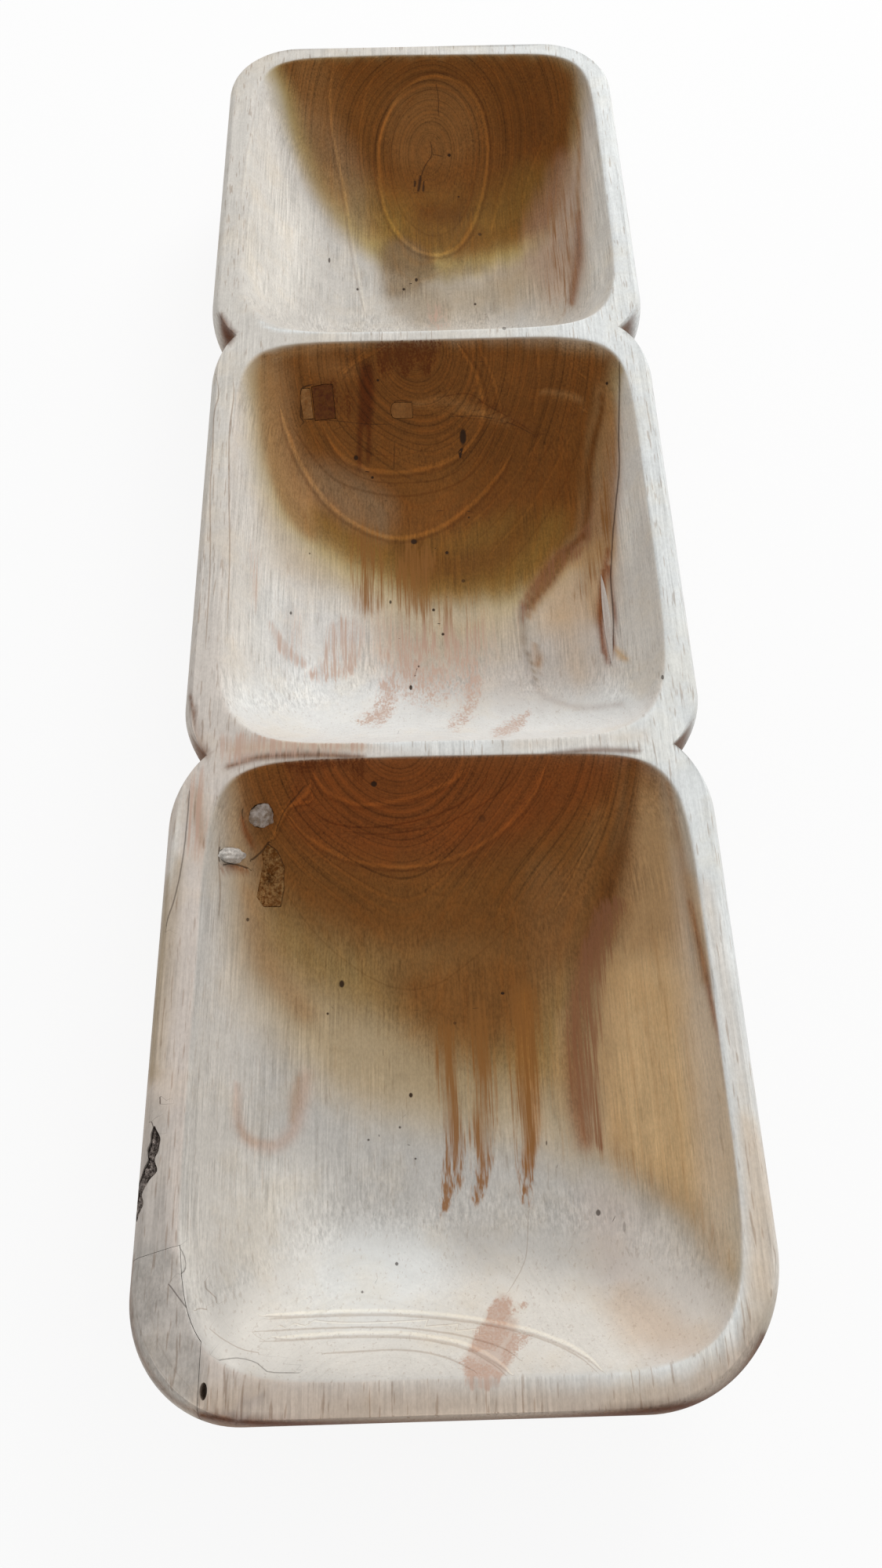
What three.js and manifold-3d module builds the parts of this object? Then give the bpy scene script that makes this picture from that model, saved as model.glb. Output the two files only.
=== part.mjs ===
// Three-compartment appetizer dish, carved from one log and mended with glued-in pieces.
// Millimetres, +Z up: X runs across the dish, Y along it with the far end positive,
// and the dish stands on the plane Z = 0 with its middle over the origin.

import * as THREE from 'three';
import { mergeVertices } from 'three/addons/utils/BufferGeometryUtils.js';
import Module from 'manifold-3d';

// The log: its outside, from the flat base over the widest line to the rim
const DISH_LENGTH = 600;
const DISH_WIDTH = 188;
const DISH_HEIGHT = 60;
const BULGE_DROP = 16;
const RIM_SIDE_INSET = 5.5;
const RIM_END_INSET = 2.5;
const BASE_SIDE_INSET = 36;
const BASE_END_INSET = 30;
const HULL_POWER = 1.9;
const CORNER_RADIUS = 28;

// The dividers between the bowls, and the notches in the sides beside them
const FAR_DIVIDER_Y = 100.5;
const NEAR_DIVIDER_Y = -96.2;
const DIVIDER_WIDTH = 7;
const NOTCH_DEPTH = 8;

// The bowls: flat rim round them, depth, roundness of the wall and of the plan
const RIM_SIDE_WIDTH = 7.5;
const RIM_END_WIDTH = 8.5;
const BOWL_DEPTH = 45;
const WALL_POWER = 3.6;
const PLAN_POWER = 6;

// Glue line round every piece that is let in, and how far a cut runs past a face
const GLUE_GAP = 0.3;
const CUT_OVERRUN = 6;

// Corner block at the near left corner, measured from the bowl's edge and the near end
const BLOCK_JOINT_IN = 9.5;
const BLOCK_LENGTH = 50;
const BLOCK_SLANT = 5;
const BLOCK_HEIGHT = 30;

// Bark pocket on the left rim
const BARK_LENGTH = 26;
const BARK_WIDTH = 4;
const BARK_DEPTH = 7;
const BARK_IN = 4.4;
const BARK_FROM_END = 66.5;
const BARK_TURN = 10.7;

// Inlays in the far wall of the middle bowl: bearing round the bowl in degrees, drop below the rim
const PATCH_BEARING = 123.8;
const PATCH_DROP = 18.3;
const PATCH_WIDTH = 9;
const PATCH_HEIGHT = 14.5;
const SLIVER_WIDTH = 4.6;
const SLIVER_HEIGHT = 12.5;
const PLUG_BEARING = 100.4;
const PLUG_DROP = 22;
const PLUG_WIDTH = 9.4;
const PLUG_HEIGHT = 6.5;
const INLAY_DEPTH = 5;

// Wedge that closes the split in the right wall of the middle bowl
const WEDGE_BEARING = -21.5;
const WEDGE_DROP = 24.2;
const WEDGE_LENGTH = 45;
const WEDGE_WIDTH = 2.4;
const WEDGE_TILT = 2.5;
const WEDGE_DEPTH = 6;

// Fill and glue beads in the far left corner of the near bowl
const FILL_BEARING = 138.7;
const FILL_DROP = 22.3;
const FILL_WIDTH = 9;
const FILL_HEIGHT = 21;
const FILL_DEPTH = 5;
const FILL_TURN = -40;
const UPPER_BEAD_BEARING = 132.9;
const UPPER_BEAD_DROP = 10;
const UPPER_BEAD_SIZE = new THREE.Vector3(8.4, 7.6, 4.6);
const LOWER_BEAD_BEARING = 142.6;
const LOWER_BEAD_DROP = 10.3;
const LOWER_BEAD_SIZE = new THREE.Vector3(8.6, 5.4, 5);

// Fineness of the facets
const CORNER_STEPS = 7;
const HULL_STEPS = 6;
const ROUND_STEPS = 4;
const BOWL_TURNS = 60;
const BOWL_STEPS = 9;
const BOWL_STEP_POWER = 0.8;
const LENS_STEPS = 6;
const BEAD_TURNS = 14;
const BEAD_STEPS = 9;

const halfLength = DISH_LENGTH / 2;
const halfWidth = DISH_WIDTH / 2;
const bowlHalfWidth = halfWidth - RIM_SIDE_INSET - RIM_SIDE_WIDTH;
const bowlEndY = halfLength - RIM_END_INSET - RIM_END_WIDTH;

// Two rounded corners that lap by this much on each side of a divider leave a notch of NOTCH_DEPTH
const notchLap = CORNER_RADIUS - Math.sqrt(CORNER_RADIUS ** 2 - (CORNER_RADIUS - NOTCH_DEPTH) ** 2);

const wasm = await Module();
wasm.setup();

// Closed solid from a geometry whose shared corners are still doubled
function toSolid(geometry) {
  const plain = geometry.clone();
  plain.deleteAttribute('normal');
  plain.deleteAttribute('uv');
  const merged = mergeVertices(plain);
  return new wasm.Manifold(new wasm.Mesh({
    numProp: 3,
    vertProperties: new Float32Array(merged.attributes.position.array),
    triVerts: new Uint32Array(merged.index.array),
  }));
}

// Named mesh from a solid, with a finish of its own
function toMesh(name, solid, color, roughness) {
  const mesh = solid.getMesh();
  const geometry = new THREE.BufferGeometry();
  geometry.setAttribute('position', new THREE.Float32BufferAttribute(mesh.vertProperties, mesh.numProp));
  geometry.setIndex([...mesh.triVerts]);
  geometry.computeVertexNormals();
  const material = new THREE.MeshStandardMaterial({ color, roughness, metalness: 0 });
  const piece = new THREE.Mesh(geometry, material);
  piece.name = name;
  return piece;
}

// Solid with level sections stacked from bottom to top: a lathe of unit radius whose rings are
// pulled out to the outline of their level. place(level, step) gives the plan point of one step
// round that outline, and middle is the plan point that the two ends close on.
function loft(levels, turns, middle, place) {
  const top = levels.length - 1;
  const profile = levels.map((level, i) => new THREE.Vector2(1, i));
  profile.unshift(new THREE.Vector2(0, 0));
  profile.push(new THREE.Vector2(0, top));
  const geometry = new THREE.LatheGeometry(profile, turns);
  const position = geometry.attributes.position;
  for (let i = 0; i < position.count; i += 1) {
    const along = i % profile.length;
    const level = levels[position.getY(i)];
    const closes = along === 0 || along === profile.length - 1;
    const plan = closes ? middle : place(level, Math.floor(i / profile.length) % turns);
    position.setXYZ(i, plan.x, plan.y, level.z);
  }
  return toSolid(geometry);
}

// The log

// Insets of the sides and ends at each level: a hull that swells from the base to the widest line,
// then a quarter ellipse that rounds over to the rim
function logLevels() {
  const bulge = DISH_HEIGHT - BULGE_DROP;
  const levels = [];
  for (let i = 0; i < HULL_STEPS; i += 1) {
    const rise = i / HULL_STEPS;
    const share = (1 - rise) ** HULL_POWER;
    levels.push({ z: rise * bulge, side: BASE_SIDE_INSET * share, end: BASE_END_INSET * share });
  }
  for (let i = 0; i <= ROUND_STEPS; i += 1) {
    const angle = (i / ROUND_STEPS) * (Math.PI / 2);
    const share = 1 - Math.cos(angle);
    const z = bulge + BULGE_DROP * Math.sin(angle);
    levels.push({ z, side: RIM_SIDE_INSET * share, end: RIM_END_INSET * share });
  }
  return levels;
}

// One lobe of the log, with rounded corners. At a divider its end laps into the next lobe;
// at an end of the dish it follows the hull's inset.
function lobe(nearDivider, farDivider) {
  const turns = 4 * (CORNER_STEPS + 1);
  const nearOf = (level) => (nearDivider === null ? level.end - halfLength : nearDivider - notchLap);
  const farOf = (level) => (farDivider === null ? halfLength - level.end : farDivider + notchLap);
  const place = (level, step) => {
    const corner = Math.floor(step / (CORNER_STEPS + 1));
    const angle = (corner + (step % (CORNER_STEPS + 1)) / CORNER_STEPS) * (Math.PI / 2);
    const onRight = corner === 0 || corner === 3;
    const onFar = corner < 2;
    const centreX = (onRight ? 1 : -1) * (halfWidth - level.side - CORNER_RADIUS);
    const centreY = onFar ? farOf(level) - CORNER_RADIUS : nearOf(level) + CORNER_RADIUS;
    const x = centreX + CORNER_RADIUS * Math.cos(angle);
    const y = centreY + CORNER_RADIUS * Math.sin(angle);
    return new THREE.Vector2(x, y);
  };
  const levels = logLevels();
  const middleY = (nearOf(levels[0]) + farOf(levels[0])) / 2;
  return loft(levels, turns, new THREE.Vector2(0, middleY), place);
}

// The bowls

// Plan of one bowl: a superellipse about its middle
function bowlPlan(nearEdge, farEdge) {
  return { middleY: (nearEdge + farEdge) / 2, halfX: bowlHalfWidth, halfY: (farEdge - nearEdge) / 2 };
}

const farBowl = bowlPlan(FAR_DIVIDER_Y + DIVIDER_WIDTH / 2, bowlEndY);
const middleBowl = bowlPlan(NEAR_DIVIDER_Y + DIVIDER_WIDTH / 2, FAR_DIVIDER_Y - DIVIDER_WIDTH / 2);
const nearBowl = bowlPlan(-bowlEndY, NEAR_DIVIDER_Y - DIVIDER_WIDTH / 2);

// Point at a bearing round the bowl, at a share of the way from its middle to its edge
function bowlPoint(bowl, bearing, share) {
  const u = Math.cos(bearing);
  const v = Math.sin(bearing);
  const reach = (Math.abs(u) ** PLAN_POWER + Math.abs(v) ** PLAN_POWER) ** (1 / PLAN_POWER);
  const x = (share * bowl.halfX * u) / reach;
  const y = bowl.middleY + (share * bowl.halfY * v) / reach;
  return new THREE.Vector2(x, y);
}

// The hollow of one bowl: the wall falls from the rim as a power curve and runs flat into the floor
function bowlHollow(bowl) {
  const levels = [];
  for (let i = 1; i <= BOWL_STEPS; i += 1) {
    const share = (i / BOWL_STEPS) ** BOWL_STEP_POWER;
    levels.push({ z: DISH_HEIGHT - BOWL_DEPTH * (1 - share ** WALL_POWER), share });
  }
  levels.push({ z: DISH_HEIGHT + CUT_OVERRUN, share: 1 });
  const place = (level, step) => bowlPoint(bowl, (2 * Math.PI * step) / BOWL_TURNS, level.share);
  return loft(levels, BOWL_TURNS, new THREE.Vector2(0, bowl.middleY), place);
}

function carvedLog() {
  const log = lobe(null, NEAR_DIVIDER_Y)
    .add(lobe(NEAR_DIVIDER_Y, FAR_DIVIDER_Y))
    .add(lobe(FAR_DIVIDER_Y, null));
  return [farBowl, middleBowl, nearBowl].reduce((rest, bowl) => rest.subtract(bowlHollow(bowl)), log);
}

// Pieces let into the walls of the bowls

// Frame on a bowl's wall at a bearing and a drop below the rim: local X runs level along the wall,
// Y up the wall and Z square out of it into the bowl
function wallFrame(bowl, bearingDegrees, drop) {
  const share = (1 - drop / BOWL_DEPTH) ** (1 / WALL_POWER);
  const plan = bowlPoint(bowl, THREE.MathUtils.degToRad(bearingDegrees), share);
  const u = plan.x / bowl.halfX;
  const v = (plan.y - bowl.middleY) / bowl.halfY;
  const steepness = BOWL_DEPTH * WALL_POWER * share ** (WALL_POWER - PLAN_POWER);
  const slopeX = (steepness * Math.sign(u) * Math.abs(u) ** (PLAN_POWER - 1)) / bowl.halfX;
  const slopeY = (steepness * Math.sign(v) * Math.abs(v) ** (PLAN_POWER - 1)) / bowl.halfY;
  const out = new THREE.Vector3(-slopeX, -slopeY, 1).normalize();
  const level = new THREE.Vector3(0, 0, 1).cross(out).normalize();
  const up = new THREE.Vector3().crossVectors(out, level);
  return new THREE.Matrix4().makeBasis(level, up, out).setPosition(plan.x, plan.y, DISH_HEIGHT - drop);
}

// Block standing in the wall, its outer end proud of the surface so that the wall trims it flush
function wallBlock(width, height, depth, grow) {
  const thick = depth + grow + CUT_OVERRUN;
  const box = new THREE.BoxGeometry(width + 2 * grow, height + 2 * grow, thick);
  return box.translate(0, 0, CUT_OVERRUN - thick / 2);
}

function patchTool(grow) {
  const patch = wallBlock(PATCH_WIDTH, PATCH_HEIGHT, INLAY_DEPTH, grow);
  return toSolid(patch.applyMatrix4(wallFrame(middleBowl, PATCH_BEARING, PATCH_DROP)));
}

// The sliver stands beside the patch, on the side of the left rim
function sliverTool(grow) {
  const sliver = wallBlock(SLIVER_WIDTH, SLIVER_HEIGHT, INLAY_DEPTH, grow);
  sliver.translate(-(PATCH_WIDTH / 2 + GLUE_GAP + SLIVER_WIDTH / 2), 0, 0);
  return toSolid(sliver.applyMatrix4(wallFrame(middleBowl, PATCH_BEARING, PATCH_DROP)));
}

function plugTool(grow) {
  const plug = wallBlock(PLUG_WIDTH, PLUG_HEIGHT, INLAY_DEPTH, grow);
  return toSolid(plug.applyMatrix4(wallFrame(middleBowl, PLUG_BEARING, PLUG_DROP)));
}

// The fill's long side runs along the dish, not up the corner
function fillTool(grow) {
  const fill = wallBlock(FILL_WIDTH, FILL_HEIGHT, FILL_DEPTH, grow);
  fill.rotateZ(THREE.MathUtils.degToRad(FILL_TURN));
  return toSolid(fill.applyMatrix4(wallFrame(nearBowl, FILL_BEARING, FILL_DROP)));
}

// Wedge with a lens-shaped face, lengthwise along the wall
function wedgeTool(grow) {
  const end = WEDGE_LENGTH / 2 + grow;
  const bow = WEDGE_WIDTH + 2 * grow;
  const lens = new THREE.Shape();
  lens.moveTo(-end, 0);
  lens.quadraticCurveTo(0, -bow, end, 0);
  lens.quadraticCurveTo(0, bow, -end, 0);
  const depth = WEDGE_DEPTH + grow + CUT_OVERRUN;
  const body = new THREE.ExtrudeGeometry(lens, { depth, bevelEnabled: false, curveSegments: LENS_STEPS });
  body.translate(0, 0, CUT_OVERRUN - depth);
  body.rotateZ(THREE.MathUtils.degToRad(WEDGE_TILT));
  return toSolid(body.applyMatrix4(wallFrame(middleBowl, WEDGE_BEARING, WEDGE_DROP)));
}

// Flattened bead of foamed glue, half sunk in the wall
function beadTool(bearing, drop, size, grow) {
  const bead = new THREE.SphereGeometry(1, BEAD_TURNS, BEAD_STEPS);
  bead.scale(size.x / 2 + grow, size.y / 2 + grow, size.z / 2 + grow);
  return toSolid(bead.applyMatrix4(wallFrame(nearBowl, bearing, drop)));
}

const upperBeadTool = (grow) => beadTool(UPPER_BEAD_BEARING, UPPER_BEAD_DROP, UPPER_BEAD_SIZE, grow);
const lowerBeadTool = (grow) => beadTool(LOWER_BEAD_BEARING, LOWER_BEAD_DROP, LOWER_BEAD_SIZE, grow);

// Pieces let into the rim

// Corner block: its inner faces follow the near bowl's edge between the straight joint in the near
// rim and the slanted joint in the left rim, and it sits on a level seat
function blockTool(grow) {
  const outX = halfWidth + CUT_OVERRUN;
  const outY = halfLength + CUT_OVERRUN;
  const edge = { ...nearBowl, halfX: nearBowl.halfX - grow, halfY: nearBowl.halfY - grow };
  const jointX = BLOCK_JOINT_IN + grow - nearBowl.halfX;
  const backY = BLOCK_LENGTH + grow - halfLength;
  const yAt = (x) => edge.middleY - edge.halfY * (1 - Math.abs(x / edge.halfX) ** PLAN_POWER) ** (1 / PLAN_POWER);
  const across = Math.abs((backY - edge.middleY) / edge.halfY);
  const backX = -edge.halfX * (1 - across ** PLAN_POWER) ** (1 / PLAN_POWER);
  const cornerX = (jointX + backX) / 2;
  const outline = new THREE.Shape([
    new THREE.Vector2(-outX, -outY),
    new THREE.Vector2(jointX, -outY),
    new THREE.Vector2(jointX, yAt(jointX)),
    new THREE.Vector2(cornerX, yAt(cornerX)),
    new THREE.Vector2(backX, backY),
    new THREE.Vector2(-outX, backY - BLOCK_SLANT),
  ]);
  const depth = BLOCK_HEIGHT + grow + CUT_OVERRUN;
  const prism = new THREE.ExtrudeGeometry(outline, { depth, bevelEnabled: false });
  prism.translate(0, 0, DISH_HEIGHT + CUT_OVERRUN - depth);
  return toSolid(prism);
}

// Bark in a slim pocket that slants across the left rim
function barkTool(grow) {
  const end = BARK_LENGTH / 2 + grow;
  const bow = BARK_WIDTH + 2 * grow;
  const slit = new THREE.Shape();
  slit.moveTo(0, -end);
  slit.quadraticCurveTo(bow, 0, 0, end);
  slit.quadraticCurveTo(-bow, 0, 0, -end);
  const depth = BARK_DEPTH + grow + CUT_OVERRUN;
  const strip = new THREE.ExtrudeGeometry(slit, { depth, bevelEnabled: false, curveSegments: LENS_STEPS });
  strip.rotateZ(-THREE.MathUtils.degToRad(BARK_TURN));
  strip.translate(BARK_IN - halfWidth, BARK_FROM_END - halfLength, DISH_HEIGHT + CUT_OVERRUN - depth);
  return toSolid(strip);
}

// Assembly: each inlay is trimmed flush by the log, and the log gets its pocket with the glue gap

const log = carvedLog();
const inlays = [
  { name: 'corner_block', tool: blockTool, color: 0xb3aba3, roughness: 0.6 },
  { name: 'bark_strip', tool: barkTool, color: 0x3a2e28, roughness: 0.95 },
  { name: 'wall_patch', tool: patchTool, color: 0x6b3f26, roughness: 0.6 },
  { name: 'patch_sliver', tool: sliverTool, color: 0x9c7a4c, roughness: 0.65 },
  { name: 'wall_plug', tool: plugTool, color: 0x8f6238, roughness: 0.55 },
  { name: 'rough_fill', tool: fillTool, color: 0x7a5636, roughness: 0.95 },
  { name: 'crack_wedge', tool: wedgeTool, color: 0xd8c8b4, roughness: 0.6 },
];
const beads = [
  { name: 'upper_glue_bead', tool: upperBeadTool, color: 0xc9c4bd, roughness: 0.7 },
  { name: 'lower_glue_bead', tool: lowerBeadTool, color: 0xe4e6e6, roughness: 0.7 },
];

const pocketed = [...inlays, ...beads].reduce((rest, piece) => rest.subtract(piece.tool(GLUE_GAP)), log);

const dish = new THREE.Group();
dish.add(toMesh('dish_body', pocketed, 0xb08d68, 0.5));
for (const { name, tool, color, roughness } of inlays) {
  dish.add(toMesh(name, tool(0).intersect(log), color, roughness));
}
for (const { name, tool, color, roughness } of beads) {
  dish.add(toMesh(name, tool(0), color, roughness));
}

export default dish;
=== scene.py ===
"""Looks of a three-bowl appetizer dish, carved from one log and mended with let-in pieces.

Sizes are millimetres in the dish's own frame (X across, Y along, Z up from the base) and become
metres where a mesh is written. Marks in the wood, and the light and shade painted on it, are placed
by the photograph's pixels: each point of the carved top is carried through the photograph's camera,
and a mark is laid where it falls.
"""
import logging
import math
from collections.abc import Iterator
from dataclasses import dataclass, field
from enum import Enum

import bpy
import numpy as np
from mathutils import Matrix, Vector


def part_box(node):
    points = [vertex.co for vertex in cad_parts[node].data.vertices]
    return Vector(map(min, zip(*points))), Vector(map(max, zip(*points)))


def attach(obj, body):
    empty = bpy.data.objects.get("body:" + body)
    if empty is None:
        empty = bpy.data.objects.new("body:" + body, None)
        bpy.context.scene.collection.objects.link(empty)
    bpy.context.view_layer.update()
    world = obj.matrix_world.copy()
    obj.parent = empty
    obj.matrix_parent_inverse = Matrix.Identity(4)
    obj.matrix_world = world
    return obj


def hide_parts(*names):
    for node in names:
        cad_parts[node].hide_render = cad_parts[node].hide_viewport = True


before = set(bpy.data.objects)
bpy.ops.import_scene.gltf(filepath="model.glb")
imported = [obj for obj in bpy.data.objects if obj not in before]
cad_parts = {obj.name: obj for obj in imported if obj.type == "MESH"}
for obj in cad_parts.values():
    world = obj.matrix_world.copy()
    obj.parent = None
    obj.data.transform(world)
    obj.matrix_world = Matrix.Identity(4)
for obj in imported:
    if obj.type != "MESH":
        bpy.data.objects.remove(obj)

LOG = logging.getLogger("dish")
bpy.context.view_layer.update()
METRE = 0.001
BODY = "root"

Path = tuple[tuple[float, float], ...]
Solid = tuple[np.ndarray, list[np.ndarray]]
Socket = bpy.types.NodeSocket


# Choices


class Zone(Enum):
    """Part of the top that a mark belongs to."""

    FAR = 0
    MIDDLE = 1
    NEAR = 2
    RIM = 3


class Tone(Enum):
    """Colours of the wood and of the light and shade painted on it, as sRGB levels from 0 to 255."""

    CHALK = (230, 226, 218)
    PALE = (216, 211, 203)
    ROSE = (206, 192, 182)
    ASH = (187, 184, 179)
    SNOW = (234, 237, 236)
    DRIFT = (168, 148, 118)
    STRAW = (200, 178, 138)
    FRINGE = (188, 166, 106)
    OLIVE = (146, 114, 54)
    SAND = (228, 194, 146)
    TAN = (206, 170, 124)
    TAWNY = (160, 116, 70)
    HEART = (130, 83, 38)
    UMBER = (110, 65, 24)
    RUSSET = (132, 71, 32)
    DARK = (88, 44, 16)
    PLUM = (144, 98, 68)
    SMOKE = (178, 166, 158)
    SLATE = (176, 170, 163)
    BLUSH = (192, 160, 142)
    RUST = (142, 95, 48)
    BARK = (52, 42, 38)
    SOOT = (86, 40, 14)
    CHAFF = (172, 132, 84)
    GLUE = (128, 110, 92)
    TAUPE = (134, 112, 82)
    BUFF = (198, 180, 150)
    FAWN = (197, 180, 164)
    AMBER = (182, 120, 54)


class Ink(Enum):
    """Kinds of thin line: dark crack, pale ring, dark grain."""

    CRACK = 0
    RING = 1
    GRAIN = 2


class Streak(Enum):
    """Kinds of ragged stain: the tone and the most of it that shows."""

    RUST = (Tone.RUST, 0.92)
    BLUSH = (Tone.BLUSH, 0.8)
    SOOT = (Tone.SOOT, 0.8)
    PLUM = (Tone.PLUM, 0.85)

    def field(self) -> str:
        """Name of the attribute that holds the stain's depth."""
        return self.name.lower()


def linear(tone: Tone) -> np.ndarray:
    """Linear light levels of a tone."""
    level = np.asarray(tone.value, float) / 255.0
    return np.where(level <= 0.04045, level / 12.92, ((level + 0.055) / 1.055) ** 2.4)


def rgba(tone: Tone) -> tuple[float, float, float, float]:
    """A tone as a shader colour."""
    return (*linear(tone).tolist(), 1.0)


# The photograph's camera


@dataclass(frozen=True)
class PhotoView:
    """Pinhole camera of the photograph, found from the rim and divider lines."""

    place: tuple[float, float, float] = (-3.56, -284.2, 412.96)
    pitch: float = 63.69
    roll: float = -0.49
    yaw: float = 1.11
    width: int = 1125
    height: int = 2000
    focal: float = 1480.0
    sensor: float = 36.0
    clip: tuple[float, float] = (0.01, 50.0)

    def axes(self) -> np.ndarray:
        """Rows: the picture's right, its up, and the viewing direction.

        Returns:
            A 3 by 3 array of unit vectors in the dish's frame.
        """
        pitch, roll, yaw = np.radians([self.pitch, self.roll, self.yaw])
        flat = math.cos(pitch)
        ahead = np.array([math.sin(yaw) * flat, math.cos(yaw) * flat, -math.sin(pitch)])
        level = np.array([math.cos(yaw), -math.sin(yaw), 0.0])
        upright = np.cross(level, ahead)
        right = math.cos(roll) * level + math.sin(roll) * upright
        up = -math.sin(roll) * level + math.cos(roll) * upright
        return np.stack([right, up, ahead])

    def project(self, points: np.ndarray) -> np.ndarray:
        """Pixels at which points of the dish appear.

        Args:
            points: n by 3 places in millimetres.

        Returns:
            n by 2 pixels of the photograph.
        """
        seen = (points - np.asarray(self.place)) @ self.axes().T
        x = self.width / 2 + self.focal * seen[:, 0] / seen[:, 2]
        y = self.height / 2 - self.focal * seen[:, 1] / seen[:, 2]
        return np.stack([x, y], axis=1)

    def make_camera(self) -> None:
        """Blender camera at the photograph's place; its sensor spans the picture's long side."""
        data = bpy.data.cameras.new("photo_camera")
        data.sensor_width = self.sensor
        data.lens = self.sensor * self.focal / max(self.width, self.height)
        data.clip_start, data.clip_end = self.clip
        camera = bpy.data.objects.new("photo_camera", data)
        right, up, ahead = self.axes()
        turn = Matrix(np.stack([right, up, -ahead], axis=1).tolist()).to_4x4()
        camera.matrix_world = Matrix.Translation(np.asarray(self.place) * METRE) @ turn
        bpy.context.scene.collection.objects.link(camera)
        bpy.context.scene.camera = camera


# Shape of the dish


@dataclass(frozen=True)
class Arc:
    """Stretch of an outline round a centre, between two bearings in degrees."""

    x: float
    y: float
    radius: float
    start: float
    stop: float

    def length(self) -> float:
        """Length along the arc."""
        return abs(math.radians(self.stop - self.start)) * self.radius

    def points(self, count: int) -> np.ndarray:
        """Even points along the arc, without its last one."""
        angle = np.radians(np.linspace(self.start, self.stop, count, endpoint=False))
        return (self.x, self.y) + self.radius * np.stack([np.cos(angle), np.sin(angle)], axis=1)


@dataclass(frozen=True)
class Straight:
    """Straight stretch of an outline."""

    x0: float
    y0: float
    x1: float
    y1: float

    def length(self) -> float:
        """Length of the stretch."""
        return math.hypot(self.x1 - self.x0, self.y1 - self.y0)

    def points(self, count: int) -> np.ndarray:
        """Even points along the stretch, without its last one."""
        return np.linspace((self.x0, self.y0), (self.x1, self.y1), count, endpoint=False)


@dataclass(frozen=True)
class Bowl:
    """Plan of one hollow: a superellipse whose halves may differ, squarer on the far side."""

    zone: Zone
    middle: float
    half: float
    left: float
    right: float
    power: float = 6.0
    far_power: float = 7.5

    def offsets(self, x: np.ndarray, y: np.ndarray) -> tuple[np.ndarray, np.ndarray]:
        """Offsets from the middle, across and along, as shares of the halves."""
        return np.abs(x) / np.where(x < 0, self.left, self.right), np.abs(y - self.middle) / self.half

    def reach(self, x: np.ndarray, y: np.ndarray) -> np.ndarray:
        """Share of the way from the middle to the edge: the p-norm of the two offsets.

        Args:
            x: places across the dish.
            y: places along the dish.

        Returns:
            Shares, 1 at the edge.
        """
        across, along = self.offsets(x, y)
        power = np.where(y > self.middle, self.far_power, self.power)
        return (across**power + along**power) ** (1 / power)


@dataclass(frozen=True)
class WallFrame:
    """Seat on a bowl's wall: a point, the level direction, up the wall, and out of it."""

    origin: np.ndarray
    level: np.ndarray
    up: np.ndarray
    out: np.ndarray

    def place(self, across: np.ndarray, upward: np.ndarray, outward: np.ndarray) -> np.ndarray:
        """Points of the dish at local offsets along the three directions."""
        on_wall = across[..., None] * self.level + upward[..., None] * self.up
        return self.origin + on_wall + outward[..., None] * self.out


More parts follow.
